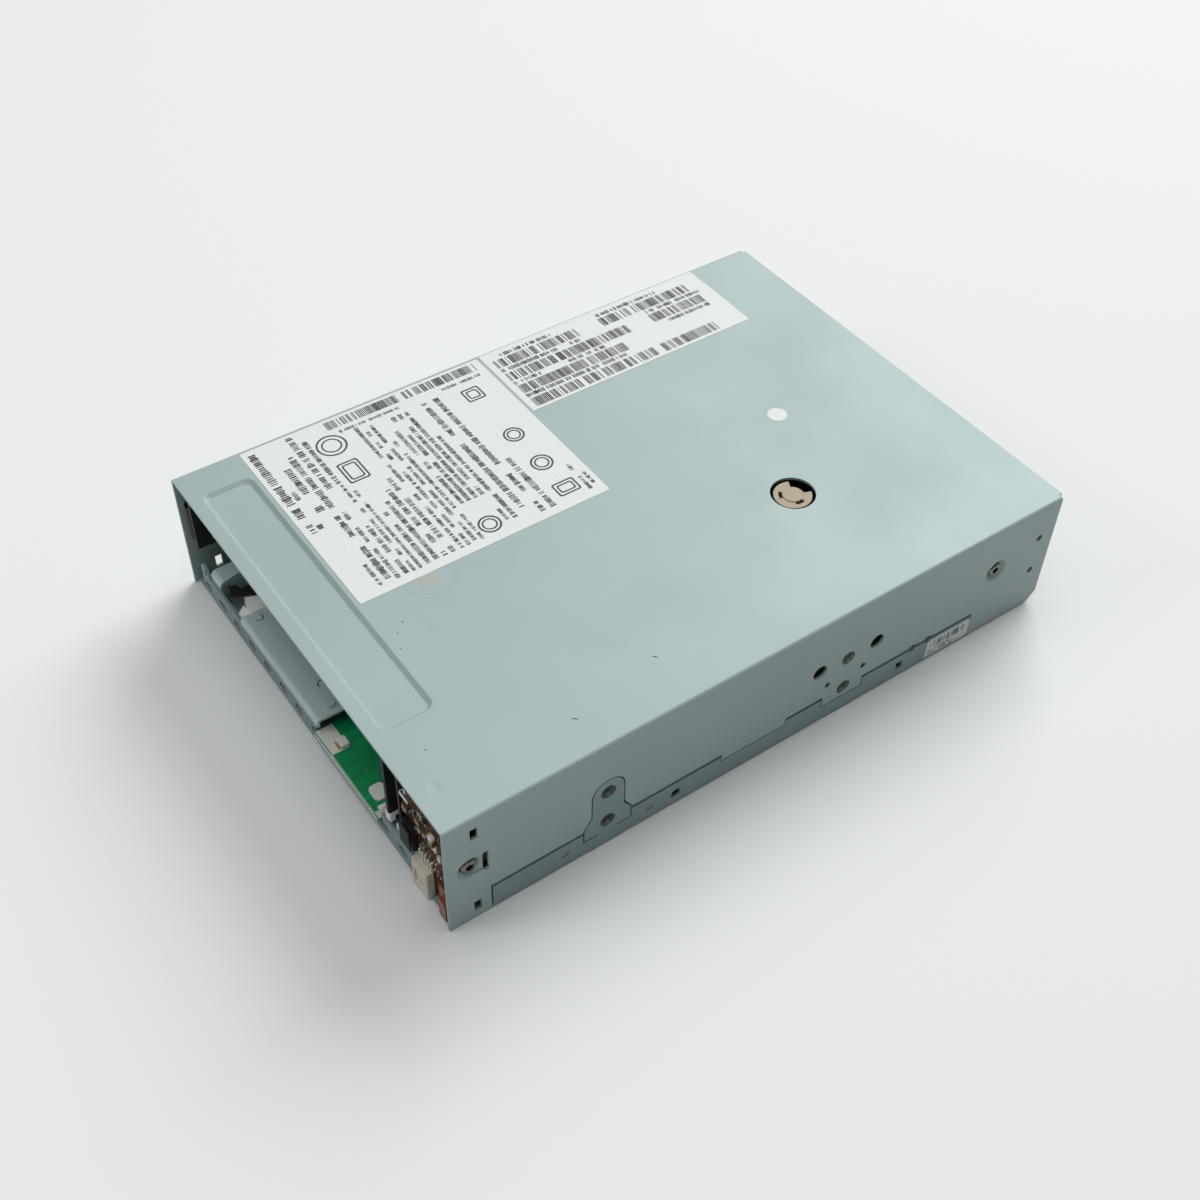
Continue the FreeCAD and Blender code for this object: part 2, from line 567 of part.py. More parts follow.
def can_motor(centre, z0, z1, r):
    """Motor can with two flats."""
    x, y = centre
    flat = r - 0.8
    return cyl(x, y, z0, z1, r).common(box(x - flat, x + flat, y - r, y + r, z0, z1))


# ---------------------------------------------------------------- reels and their motors
CHUCK_TEETH = 12
STATOR_Z = (7.0, 11.2)


def motor_base(centre, bore):
    """Stator that sits in a well of the deck."""
    return ring(*centre, *STATOR_Z, bore, MOTOR_WELL_R - 0.1)


def hub_rotor():
    disc = cyl(BAY_X, HUB_Y, 11.6, 13.4, 21.0)
    return fuse([disc, cyl(BAY_X, HUB_Y, 7.4, 11.6, PIN_R)])


def hub_chuck():
    """Toothed ring that takes hold of the cartridge's hub."""
    base = ring(BAY_X, HUB_Y, 13.4, 15.0, 13.5, 19.0)
    teeth = []
    for i in range(CHUCK_TEETH):
        tooth = prism([(14.2, -1.2), (18.4, -1.7), (18.4, 1.7), (14.2, 1.2)], 15.0, 16.2)
        tooth.rotate(FreeCAD.Vector(0, 0, 0), FreeCAD.Vector(0, 0, 1), 360.0 / CHUCK_TEETH * i)
        tooth.translate(FreeCAD.Vector(BAY_X, HUB_Y, 0))
        teeth.append(tooth)
    return fuse([base] + teeth)


def hub_magnet():
    return ring(BAY_X, HUB_Y, 13.4, 15.2, 3.2, 9.0)


CLIP_Z = (39.6, 40.4)          # retaining clip on the reel shaft


def reel_shaft():
    shaft = cyl(*REEL, 7.0, 40.6, PIN_R)
    return shaft.cut(ring(*REEL, *CLIP_Z, 2.3, 4.0))


def reel_hub():
    """Take-up hub with its lower flange, leader slot and top boss."""
    body = fuse([cyl(*REEL, 15.6, 16.4, REEL_R), cyl(*REEL, 16.4, 30.0, 19.0),
                 cyl(*REEL, 30.0, 31.2, 5.4), cyl(*REEL, 31.2, CLIP_Z[0] - 0.2, 4.2)])
    slot = box(REEL[0] - 20.0, REEL[0] - 9.0, REEL[1] - 3.4, REEL[1] + 3.4, 17.4, 31.0)
    return cut(body, [slot, cyl(*REEL, 10, 41, PIN_R + RUN)])


def reel_flange():
    """Upper flange with windows that show how much tape is wound."""
    disc = ring(*REEL, 30.0, 30.8, 5.5, REEL_R)
    windows = []
    for i in range(3):
        window = prism([polar(REEL, 23.0, 120 * i - 20), polar(REEL, 23.0, 120 * i + 20),
                        polar(REEL, 34.0, 120 * i + 24), polar(REEL, 34.0, 120 * i - 24)], 29, 32)
        windows.append(window)
    return cut(disc, windows)


def reel_rotor():
    return ring(*REEL, 12.8, 15.6, PIN_R + RUN, 24.0)


def e_clip():
    """Retaining clip in the shaft's groove, open to the rear, with three prongs on the shaft."""
    gap = prism([REEL, polar(REEL, 9.0, 71.0), polar(REEL, 9.0, 153.0)], 38, 41)
    notch = ring(*REEL, 38, 41, 1.0, 4.1)
    notches = [notch.common(prism([REEL, polar(REEL, 9.0, a - 22.0), polar(REEL, 9.0, a + 22.0)], 38, 41))
               for a in (238.0, 356.0)]
    return cut(ring(*REEL, *CLIP_Z, 2.3, 5.5), [gap] + notches)


# ---------------------------------------------------------------- tape path
def guide_roller(centre):
    """Flangeless roller, a little taller than the tape."""
    return ring(*centre, TAPE_Z[0] - 0.8, TAPE_Z[1] + 0.8, POST_R + RUN, ROLLER_R)


def head_carriage():
    block = box(12.5, 20.0, -7.0, 7.0, 18.4, 27.6)
    bores = [cyl(SCREW_RING, s * ROD_SPREAD, 10, 40, ROD_R + RUN) for s in (1, -1)]
    return head_frame(cut(block, bores + [cyl(SCREW_RING, 0, 10, 40, SCREW_R + RUN)]))


def tape_head():
    """Read-write head with its two contoured bumps."""
    face = prism([(20.0, -3.2), (28.6, -4.0), (29.8, -3.3), (30.2, -2.4), (29.4, -0.6), (29.4, 0.6),
                  (30.2, 2.4), (29.8, 3.3), (28.6, 4.0), (20.0, 3.2)], 19.0, 27.0)
    return head_frame(face)


def head_rods():
    return group(head_frame(cyl(SCREW_RING, s * ROD_SPREAD, DECK_Z[1], 32.0, ROD_R)) for s in (1, -1))


def head_bridge():
    bar = box(13.4, 19.6, -7.0, 7.0, 32.0, 32.9)
    return head_frame(bar.cut(cyl(SCREW_RING, 0, 30, 40, SCREW_R + RUN)))


def lead_screw():
    return cyl(*LEAD_SCREW, DECK_Z[0], 32.9, SCREW_R)


def head_stepper():
    return cyl(*LEAD_SCREW, 2.2, DECK_Z[0], 6.4)


# ---------------------------------------------------------------- threader
THREAD_REST = 215.0            # where the grabber waits, as an angle round its axis
THREAD_SWEEP = 148.0
ARM_Z = (33.3, 35.2)
THREAD_GEAR_Z = (35.2, 37.2)


def thread_frame(shape):
    placed = shape.copy()
    placed.rotate(FreeCAD.Vector(0, 0, 0), FreeCAD.Vector(0, 0, 1), THREAD_REST)
    placed.translate(FreeCAD.Vector(PIVOT[0], PIVOT[1], 0))
    return placed


def threader_arm():
    z0, z1 = ARM_Z
    bar = prism([(0, -4.6), (THREAD_R, -3.0), (THREAD_R, 3.0), (0, 4.6)], z0, z1)
    body = fuse([bar, cyl(0, 0, z0, z1, 5.4), cyl(THREAD_R, 0, z0, z1, 3.0)])
    window = prism([(8.0, -1.8), (30.0, -1.2), (30.0, 1.2), (8.0, 1.8)], z0 - 1, z1 + 1)
    return thread_frame(cut(body, [window, cyl(0, 0, z0 - 1, z1 + 1, 2.0 + RUN)]))


def threader_gear():
    return spur_gear(PIVOT, 20, 0.8, *THREAD_GEAR_Z, 2.0 + RUN, -90.0 + 9.0)


def pin_grabber():
    """Upright hook that holds the leader pin by its two ends."""
    bar = box(THREAD_R - 0.4, THREAD_R + 2.8, -2.4, 2.4, 16.8, ARM_Z[0])
    claws = [prism([(THREAD_R - 2.6, -2.4), (THREAD_R, -2.4), (THREAD_R, 2.4), (THREAD_R - 1.6, 2.4)],
                   z, z + 1.8) for z in (16.8, 29.4)]
    return thread_frame(fuse([bar] + claws))


def pivot_posts():
    """Steel posts on the deck: four rollers, the threader, the drive gear and the lever."""
    posts = [cyl(*centre, DECK_Z[1], 31.8, POST_R) for centre in ROLLERS]
    posts += [cyl(*PIVOT, DECK_Z[1], 38.0, 2.0), cyl(*DRIVE_GEAR, DECK_Z[1], 19.6, POST_R)]
    return group(posts + [cyl(*LOCK_PIVOT, DECK_Z[1], 12.3, 1.0)])


# ---------------------------------------------------------------- pieces at the front opening
def entry_plate():
    """Steel plate below the cartridge mouth; its front edge rolls down."""
    x0, x1 = -40.8, 4.6
    y0, top, r = 0.9, 12.0, 1.2
    flat = box(x0, x1, y0 + r, 18.0, top - SHEET, top)
    roll = cyl_x(x0, x1, y0 + r, top - r, r).cut(cyl_x(x0 - 1, x1 + 1, y0 + r, top - r, r - SHEET))
    roll = roll.common(box(x0, x1, y0, y0 + r, top - r, top))
    apron = box(x0, x1, y0, y0 + SHEET, 9.3, top - r)
    arcs = []
    for x, y, a in ((-38.2, 5.4, -60.0), (-6.5, 8.5, 100.0)):
        sector = prism([(x, y)] + [polar((x, y), 2.5, a + 50.0 * i) for i in range(5)], 10, 13)
        arcs.append(ring(x, y, 10, 13, 1.0, 1.4).common(sector))
    rivet = cyl(1.2, 6.6, top, top + 0.5, 1.4)
    return fuse([cut(fuse([flat, roll, apron]), arcs), rivet])


def guide_bracket():
    """Sheet bracket with a rolled front edge, behind the left end of the front lip."""
    x0, x1 = -62.6, -56.6
    y0, top, r = 2.0, 11.8, 2.0
    plate = prism([(x0, y0 + r), (x1, y0 + r), (-58.0, 11.4), (-62.9, 11.4)], top - SHEET, top)
    roll = cyl_x(x0, x1, y0 + r, top - r, r).cut(cyl_x(x0 - 1, x1 + 1, y0 + r, top - r, r - SHEET))
    roll = roll.common(box(x0, x1, y0, y0 + r, top - r, top))
    leg = box(x0, x1, y0, y0 + SHEET, 6.0, top - r)
    return fuse([plate, roll, leg])


def lock_lever():
    """Hooked lever that blocks the carriage when no cartridge is in."""
    x, y = LOCK_PIVOT
    outline = [(x - 2.2, y), (-49.4, 9.6), (-51.0, 8.8), (-50.8, 6.2), (-53.0, 5.6), (-54.0, 3.6), (-50.6, 2.9),
               (-48.8, 5.6), (-47.6, 8.8), (x + 2.2, y)]
    body = fuse([prism(outline, 11.0, 12.2), cyl(x, y, 11.0, 12.2, 2.2)])
    return body.cut(cyl(x, y, 10, 13, 1.0 + RUN))


def sensor_block():
    """Moulded block beside the lever, stepped down to the front."""
    high = prism([(-50.0, 13.9), (-50.0, 7.6), (-49.2, 6.0), (-45.2, 4.6), (-41.4, 4.6), (-41.4, 13.9)],
                 6.8, 10.6)
    low = prism([(-47.6, 4.8), (-45.4, 2.2), (-41.4, 2.2), (-41.4, 4.8)], 6.8, 9.0)
    return fuse([high, low])


def guide_clip():
    """Bowed guide strip inside the left wall."""
    x, y = -70.0, 3.4
    strip = ring(x, y, 20.0, 32.0, 1.9, 2.2)
    return strip.common(box(x - 3, x + 3, y - 3, y, 10, 40))


SWITCH = (52.65, 16.7)          # centre (x, z) of the eject switch


def panel_board():
    plate = box(49.9, 71.8, 2.6, 3.2, 2.2, 39.2)
    return plate.cut(box(47, 54.0, 2, 4, 2.0, 9.0))


def panel_backing():
    return fuse([box(50.2, 68.6, 3.2, 4.6, 12.0, 39.0), box(54.7, 68.6, 3.2, 4.6, 9.3, 12.0)])


def panel_foot():
    return prism([(44.6, 2.1), (54.6, 2.1), (54.6, 2.55), (49.6, 2.55), (49.6, 4.6), (46.6, 4.6)], 9.3, 11.6)


def panel_socket():
    shell = round_edges(box(55.0, 62.3, 0.1, 2.6, 0.4, 11.0), 0.4, upright)
    return cut(shell, [box(56.0, 60.4, -1, 0.6, 2.4, 8.0)])


def switch_body():
    body = box(SWITCH[0] - 2.65, SWITCH[0] + 2.65, 0.9, 2.6, SWITCH[1] - 4.3, SWITCH[1] + 4.3)
    return body.cut(cyl_y(SWITCH[0], 0.5, 2.4, SWITCH[1], 1.3 + RUN))


def switch_plunger():
    """Key cap that covers the switch, on a round stem."""
    cap = box(SWITCH[0] - 2.35, SWITCH[0] + 2.35, 0.1, 0.5, SWITCH[1] - 3.9, SWITCH[1] + 3.9)
    return fuse([cap, cyl_y(SWITCH[0], 0.5, 2.0, SWITCH[1], 1.3)])


def indicator_lamps():
    return group(box(x, x + 2.2, 1.5, 2.6, z, z + 2.0)
                 for x, z in ((50.2, 24.8), (56.4, 26.2), (58.4, 31.4), (62.4, 24.6), (52.6, 35.6)))


def flex_tail():
    """Flexible circuit: flat on the board, then folded forward and down at the right corner."""
    return fuse([box(64.6, 71.4, 2.2, 2.6, 2.4, 9.4), box(67.4, 70.6, 0.6, 2.2, 7.6, 8.0),
                 box(67.4, 70.6, 0.4, 0.8, 1.0, 8.0)])


# ---------------------------------------------------------------- the pieces
NODES = {
    "top_cover": top_cover,
    "bottom_tray": bottom_tray,
    "deck_casting": deck_casting,
    "logic_board": logic_board,
    "board_chips": board_chips,
    "board_spacers": board_spacers,
    "sas_connector": sas_connector,
    "library_port": library_port,
    "rear_plate": rear_plate,
    "cartridge_tray": cartridge_tray,
    "cam_plate_right": lambda: cam_plate(0),
    "cam_plate_left": lambda: cam_plate(1),
    "carriage_frame": carriage_frame,
    "loader_side_right": lambda: loader_side(0),
    "loader_side_left": lambda: loader_side(1),
    "drive_gear": drive_gear,
    "loader_motor": lambda: can_motor(LOAD_MOTOR, 20.4, 37.6, 7.6),
    "loader_pinion": lambda: shaft_pinion(LOAD_MOTOR, 16.8, 19.4, 20.4 - RUN),
    "supply_motor": lambda: motor_base((BAY_X, HUB_Y), PIN_R + RUN),
    "hub_rotor": hub_rotor,
    "hub_chuck": hub_chuck,
    "hub_magnet": hub_magnet,
    "takeup_motor": lambda: motor_base(REEL, PIN_R),
    "reel_shaft": reel_shaft,
    "reel_hub": reel_hub,
    "reel_flange": reel_flange,
    "reel_rotor": reel_rotor,
    "e_clip": e_clip,
    "head_carriage": head_carriage,
    "tape_head": tape_head,
    "head_rods": head_rods,
    "head_bridge": head_bridge,
    "lead_screw": lead_screw,
    "head_stepper": head_stepper,
    "threader_arm": threader_arm,
    "threader_gear": threader_gear,
    "threader_pinion": lambda: shaft_pinion(THREAD_MOTOR, *THREAD_GEAR_Z, 33.0 + RUN),
    "threader_motor": lambda: can_motor(THREAD_MOTOR, DECK_Z[1], 33.0, 6.4),
    "pin_grabber": pin_grabber,
    "pivot_posts": pivot_posts,
    "entry_plate": entry_plate,
    "guide_bracket": guide_bracket,
    "lock_lever": lock_lever,
    "sensor_block": sensor_block,
    "guide_clip": guide_clip,
    "panel_board": panel_board,
    "panel_backing": panel_backing,
    "panel_foot": panel_foot,
    "panel_socket": panel_socket,
    "switch_body": switch_body,
    "switch_plunger": switch_plunger,
    "indicator_lamps": indicator_lamps,
    "flex_tail": flex_tail,
}

os.makedirs(PARTS, exist_ok=True)
for node, make in NODES.items():
    save(node, make())
for number, centre in enumerate(ROLLERS, 1):
    save("guide_roller_%d" % number, guide_roller(centre))
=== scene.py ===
import math

import bmesh
import bpy
from mathutils import Matrix, Vector


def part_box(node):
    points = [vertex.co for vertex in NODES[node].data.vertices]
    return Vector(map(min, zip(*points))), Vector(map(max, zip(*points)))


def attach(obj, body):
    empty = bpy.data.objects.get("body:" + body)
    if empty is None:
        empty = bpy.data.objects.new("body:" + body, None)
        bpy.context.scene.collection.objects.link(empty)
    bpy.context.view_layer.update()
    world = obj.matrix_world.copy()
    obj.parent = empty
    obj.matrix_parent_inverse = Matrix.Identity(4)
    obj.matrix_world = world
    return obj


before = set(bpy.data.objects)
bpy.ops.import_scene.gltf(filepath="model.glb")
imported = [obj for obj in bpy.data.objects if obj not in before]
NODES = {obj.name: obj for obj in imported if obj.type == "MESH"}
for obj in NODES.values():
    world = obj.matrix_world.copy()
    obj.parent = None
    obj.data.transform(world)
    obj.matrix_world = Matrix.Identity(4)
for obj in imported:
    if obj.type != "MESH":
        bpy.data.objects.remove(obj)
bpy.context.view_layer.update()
MM = 0.001
CASE_LOW, CASE_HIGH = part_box("top_cover")
FRONT = CASE_LOW.y
TOP = CASE_HIGH.z
HALF_WIDTH = 73.0        # side faces of the case, in mm from the middle
SUNK = 0.02 * MM         # how far a label reaches into the face that it lies on

bl_info = {
    "name": "Tape drive finish",
    "version": (1, 0, 0),
    "blender": (4, 5, 0),
    "location": "View3D > Sidebar > Tape Drive",
    "description": "Finishes, labels, fasteners and small parts of a half-height tape drive",
    "category": "Object",
}


# ---------------------------------------- settings
class CaseSettings(bpy.types.PropertyGroup):
    cover_colour: bpy.props.FloatVectorProperty(
        name="Cover colour", description="Plated steel of the top cover",
        subtype="COLOR", size=3, default=(0.305, 0.39, 0.38))
    tray_colour: bpy.props.FloatVectorProperty(
        name="Tray colour", description="Plated steel of the bottom tray",
        subtype="COLOR", size=3, default=(0.22, 0.295, 0.305))
    roughness: bpy.props.FloatProperty(
        name="Sheet roughness", description="Gloss of the plated sheet", default=0.52, min=0.1, max=1.0)
    screw_radius: bpy.props.FloatProperty(
        name="Screw head radius", description="Pan head of the side screws",
        unit="LENGTH", default=2.35 * MM)
    screw_height: bpy.props.FloatProperty(
        name="Screw head height", description="How far the head stands up",
        unit="LENGTH", default=1.25 * MM)


class LabelSettings(bpy.types.PropertyGroup):
    paper_colour: bpy.props.FloatVectorProperty(
        name="Paper colour", description="Label stock", subtype="COLOR", size=3,
        default=(0.64, 0.665, 0.655))
    ink_colour: bpy.props.FloatVectorProperty(
        name="Ink colour", description="Printed bars", subtype="COLOR", size=3,
        default=(0.045, 0.048, 0.052))
    thickness: bpy.props.FloatProperty(
        name="Label thickness", description="Paper and glue", unit="LENGTH", default=0.08 * MM)
    ink_height: bpy.props.FloatProperty(
        name="Ink height", description="Height of the print over the paper",
        unit="LENGTH", default=0.012 * MM)
    dot_radius: bpy.props.FloatProperty(
        name="Dot radius", description="Round seal on the cover", unit="LENGTH", default=3.0 * MM)


class FrontSettings(bpy.types.PropertyGroup):
    mask_colour: bpy.props.FloatVectorProperty(
        name="Solder mask", description="Green of the logic board", subtype="COLOR", size=3,
        default=(0.0, 0.26, 0.085))
    film_colour: bpy.props.FloatVectorProperty(
        name="Panel film", description="Amber film of the front panel board", subtype="COLOR", size=3,
        default=(0.060, 0.018, 0.007))
    socket_colour: bpy.props.FloatVectorProperty(
        name="Socket colour", description="Cream nylon of the front socket", subtype="COLOR", size=3,
        default=(0.62, 0.58, 0.47))


class StageSettings(bpy.types.PropertyGroup):
    camera_place: bpy.props.FloatVectorProperty(
        name="Camera place", description="Camera position", subtype="TRANSLATION", size=3,
        default=(0.26111, -0.19702, 0.33919))
    camera_target: bpy.props.FloatVectorProperty(
        name="Camera target", description="Point that the camera looks at", subtype="TRANSLATION", size=3,
        default=(0.01634, -0.01768, 0.020))
    camera_up: bpy.props.FloatVectorProperty(
        name="Camera up", description="Direction of the picture's upright", subtype="DIRECTION", size=3,
        default=(-0.60084, 0.40575, 0.68874))
    lens: bpy.props.FloatProperty(name="Lens", description="Focal length in mm", default=47.255, min=10.0)
    floor_size: bpy.props.FloatProperty(
        name="Floor size", description="Width of the floor", unit="LENGTH", default=8.0)


# ---------------------------------------- shader helpers
class Shader:
    """One material with its node tree; each call adds a node and returns its output."""

    def __init__(self, name, colour, roughness, metallic=0.0, coat=0.0, specular=0.5):
        self.material = bpy.data.materials.new(name)
        self.material.use_nodes = True
        self.tree = self.material.node_tree
        self.surface = self.tree.nodes["Principled BSDF"]
        for key, value in (("Base Color", (*colour, 1.0)), ("Roughness", roughness), ("Metallic", metallic),
                           ("Coat Weight", coat), ("Specular IOR Level", specular)):
            self.surface.inputs[key].default_value = value
        self.material.diffuse_color = (*colour, 1.0)
        self.place = self.tree.nodes.new("ShaderNodeTexCoord").outputs["Object"]

    def node(self, kind, **inputs):
        made = self.tree.nodes.new(kind)
        for key, value in inputs.items():
            self.feed(made.inputs[key.replace("_", " ")], value)
        return made

    def feed(self, socket, value):
        if isinstance(value, bpy.types.NodeSocket):
            self.tree.links.new(value, socket)
        else:
            socket.default_value = value

    def stretched(self, scale, turn=(0.0, 0.0, 0.0)):
        return self.node("ShaderNodeMapping", Vector=self.place, Scale=scale, Rotation=turn).outputs["Vector"]

    def noise(self, scale, detail=3.0, vector=None):
        made = self.node("ShaderNodeTexNoise", Vector=vector or self.place, Scale=scale, Detail=detail)
        return made.outputs["Fac"]

    def ramp(self, value, low, high, out_low=0.0, out_high=1.0):
        made = self.node("ShaderNodeMapRange", Value=value, From_Min=low, From_Max=high,
                         To_Min=out_low, To_Max=out_high)
        return made.outputs["Result"]

    def math(self, operation, first, second):
        made = self.tree.nodes.new("ShaderNodeMath")
        made.operation = operation
        self.feed(made.inputs[0], first)
        self.feed(made.inputs[1], second)
        return made.outputs["Value"]

    def blend(self, amount, first, second):
        made = self.tree.nodes.new("ShaderNodeMix")
        made.data_type = "RGBA"
        self.feed(made.inputs["Factor"], amount)
        for key, value in (("A", first), ("B", second)):
            self.feed(made.inputs[key], value if isinstance(value, bpy.types.NodeSocket) else (*value, 1.0))
        return made.outputs["Result"]

    def colour(self, value):
        self.feed(self.surface.inputs["Base Color"], value)

    def rough(self, value):
        self.feed(self.surface.inputs["Roughness"], value)

    def bump(self, height, strength, distance=0.0001):
        made = self.node("ShaderNodeBump", Height=height, Strength=strength, Distance=distance)
        previous = self.surface.inputs["Normal"].links
        if previous:
            self.tree.links.new(previous[0].from_socket, made.inputs["Normal"])
        self.tree.links.new(made.outputs["Normal"], self.surface.inputs["Normal"])


def tone(colour, factor):
    return tuple(min(1.0, c * factor) for c in colour)


# ---------------------------------------- materials
def plated_sheet(name, colour, roughness):
    """Satin plated steel: faint mottling, hair scratches, finger smudges and a rolled grain."""
    s = Shader(name, colour, roughness, metallic=0.12, specular=0.35)
    cloud = s.ramp(s.noise(14.0, 2.0), 0.35, 0.68)
    body = s.blend(cloud, tone(colour, 0.97), tone(colour, 1.03))
    smudge = s.ramp(s.noise(38.0, 4.0), 0.60, 0.74, 0.0, 0.16)
    body = s.blend(smudge, body, tone(colour, 0.74))
    along = s.noise(1.0, 2.0, s.stretched((90.0, 2600.0, 900.0), (0, 0, 0.5)))
    across = s.noise(1.0, 2.0, s.stretched((2300.0, 70.0, 900.0), (0, 0, -0.3)))
    scratches = s.math("MAXIMUM", s.ramp(along, 0.72, 0.80, 0.0, 0.22), s.ramp(across, 0.73, 0.80, 0.0, 0.18))
    s.colour(s.blend(scratches, body, tone(colour, 1.25)))
    grain = s.noise(900.0, 2.0)
    rough = s.ramp(s.noise(22.0, 3.0), 0.3, 0.7, roughness - 0.05, roughness + 0.07)
    s.rough(s.math("SUBTRACT", rough, s.math("MULTIPLY", scratches, 0.4)))
    s.bump(grain, 0.10, 0.00005)
    s.bump(s.noise(9.0, 1.0), 0.08, 0.0004)
    return s.material


def bare_metal(name, colour, roughness, metallic=0.9, grain=(1500.0, 60.0, 1500.0)):
    """Drawn, turned or ground metal with a fine directional grain."""
    s = Shader(name, colour, roughness, metallic=metallic)
    lines = s.noise(1.0, 2.0, s.stretched(grain))
    s.colour(s.blend(s.ramp(lines, 0.3, 0.7), tone(colour, 0.88), tone(colour, 1.08)))
    s.rough(s.ramp(lines, 0.3, 0.7, roughness - 0.06, roughness + 0.08))
    s.bump(lines, 0.12, 0.00004)
    return s.material


def cast_metal(name, colour):
    s = Shader(name, colour, 0.55, metallic=0.7)
    skin = s.noise(700.0, 4.0)
    s.colour(s.blend(s.ramp(s.noise(60.0), 0.3, 0.7), tone(colour, 0.85), tone(colour, 1.08)))
    s.bump(skin, 0.35, 0.00012)
    return s.material


def moulded(name, colour, roughness=0.5, spark=0.25, coat=0.0, specular=0.45):
    """Spark-eroded moulded plastic with slight shade changes and scuffed gloss."""
    s = Shader(name, colour, roughness, coat=coat, specular=specular)
    s.colour(s.blend(s.ramp(s.noise(90.0), 0.35, 0.65), tone(colour, 0.90), tone(colour, 1.08)))
    s.rough(s.ramp(s.noise(160.0, 3.0), 0.3, 0.7, roughness - 0.07, roughness + 0.09))
    s.bump(s.noise(1800.0, 2.0), spark, 0.00005)
    return s.material


def paper(name, colour):
    s = Shader(name, colour, 0.62, specular=0.4)
    fibres = s.noise(1.0, 3.0, s.stretched((2600.0, 900.0, 900.0)))
    s.colour(s.blend(s.ramp(fibres, 0.35, 0.65), tone(colour, 0.965), tone(colour, 1.01)))
    s.bump(fibres, 0.10, 0.00003)
    return s.material


def ink(name, colour):
    s = Shader(name, colour, 0.55, specular=0.3)
    s.colour(s.blend(s.ramp(s.noise(1400.0, 2.0), 0.45, 0.75), colour, tone(colour, 2.2)))
    return s.material


def solder_mask(name, colour):
    """Green lacquer over copper: tracks show as a lighter relief under the gloss."""
    s = Shader(name, colour, 0.32, coat=0.35, specular=0.5)
    grid = s.stretched((420.0, 60.0, 1.0))
    tracks = s.ramp(s.noise(1.0, 0.0, grid), 0.50, 0.53)
    planes = s.ramp(s.noise(55.0, 1.0), 0.47, 0.50)
    body = s.blend(s.math("MULTIPLY", tracks, 0.5), colour, tone(colour, 1.45))
    s.colour(s.blend(s.math("MULTIPLY", planes, 0.35), body, tone(colour, 0.72)))
    s.bump(tracks, 0.25, 0.00004)
    s.rough(s.ramp(s.noise(240.0), 0.3, 0.7, 0.26, 0.40))
    return s.material


def amber_film(name, colour):
    """Polyimide film over copper tracks."""
    s = Shader(name, colour, 0.5, specular=0.08)
    tracks = s.ramp(s.noise(1.0, 0.0, s.stretched((620.0, 1.0, 90.0))), 0.50, 0.54)
    s.colour(s.blend(s.math("MULTIPLY", tracks, 0.6), colour, tone(colour, 2.0)))
    s.bump(tracks, 0.2, 0.00004)
    return s.material


EVEN = (900.0, 900.0, 900.0)      # grain without a direction


def finishes(case, label, front):
    """Every finish of the drive by name."""
    return {
        "cover": plated_sheet("cover_steel", tuple(case.cover_colour), case.roughness),
        "tray": plated_sheet("tray_steel", tuple(case.tray_colour), case.roughness),
        "inner_sheet": plated_sheet("zinc_steel", (0.50, 0.60, 0.60), 0.34),
        "casting": cast_metal("cast_aluminium", (0.42, 0.43, 0.44)),
        "bright": bare_metal("bright_steel", (0.62, 0.62, 0.61), 0.34, grain=(2400.0, 2400.0, 300.0)),
        "motor": bare_metal("motor_steel", (0.40, 0.41, 0.42), 0.34),
        "roller": bare_metal("roller_metal", (0.68, 0.69, 0.70), 0.26),
        # Screw heads in dark steel: painted reflection of dark surroundings in the bright heads.
        "screw": bare_metal("screw_steel_painted_dark", (0.19, 0.18, 0.175), 0.20, grain=EVEN),
        # Threads of the mounting holes, darkened to near black: painted shade of the holes' inside.
        "thread": bare_metal("thread_steel_painted_dark", (0.05, 0.046, 0.043), 0.22, 0.5, grain=EVEN),
        "bronze": bare_metal("clip_bronze", (0.32, 0.268, 0.19), 0.60, 0.25, grain=(700.0, 700.0, 700.0)),
        "gold": bare_metal("contact_gold", (0.72, 0.52, 0.22), 0.25, grain=EVEN),
        "board": solder_mask("solder_mask", tuple(front.mask_colour)),
        "board_edge": moulded("board_edge", (0.56, 0.62, 0.50), 0.6, 0.15),
        "silk": paper("silkscreen", (0.68, 0.70, 0.62)),
        "scrap": paper("tape_scrap", (0.36, 0.375, 0.325)),
        "stain": plated_sheet("stained_steel", tone(tuple(case.cover_colour), 0.88), case.roughness),
        "film": amber_film("amber_film", tuple(front.film_colour)),
        "flex": moulded("flex_orange", (0.24, 0.075, 0.02), 0.4, 0.1, 0.2),
        "silver": bare_metal("tinned_metal", (0.74, 0.71, 0.62), 0.24, grain=EVEN),
        "lime": moulded("lime_resin", (0.45, 0.52, 0.06), 0.3, 0.1, 0.3),
        "black": moulded("black_plastic", (0.010, 0.011, 0.013), 0.50, 0.12, specular=0.22),
        "chip": moulded("chip_plastic", (0.022, 0.022, 0.025), 0.55),
        "white": moulded("white_plastic", (0.80, 0.80, 0.77), 0.40),
        "cream": moulded("cream_plastic", tuple(front.socket_colour), 0.45, 0.15),
        "gear": moulded("gear_plastic", (0.66, 0.64, 0.56), 0.4),
        "reel": moulded("reel_plastic", (0.035, 0.034, 0.033), 0.5, 0.15),
        "lamp": moulded("lamp_resin", (0.12, 0.085, 0.05), 0.3, 0.05, 0.2),
        "ceramic": moulded("head_ceramic", (0.05, 0.045, 0.045), 0.15, 0.05, 0.5),
        "paper": paper("label_paper", tuple(label.paper_colour)),
        "ink": ink("label_ink", tuple(label.ink_colour)),
    }


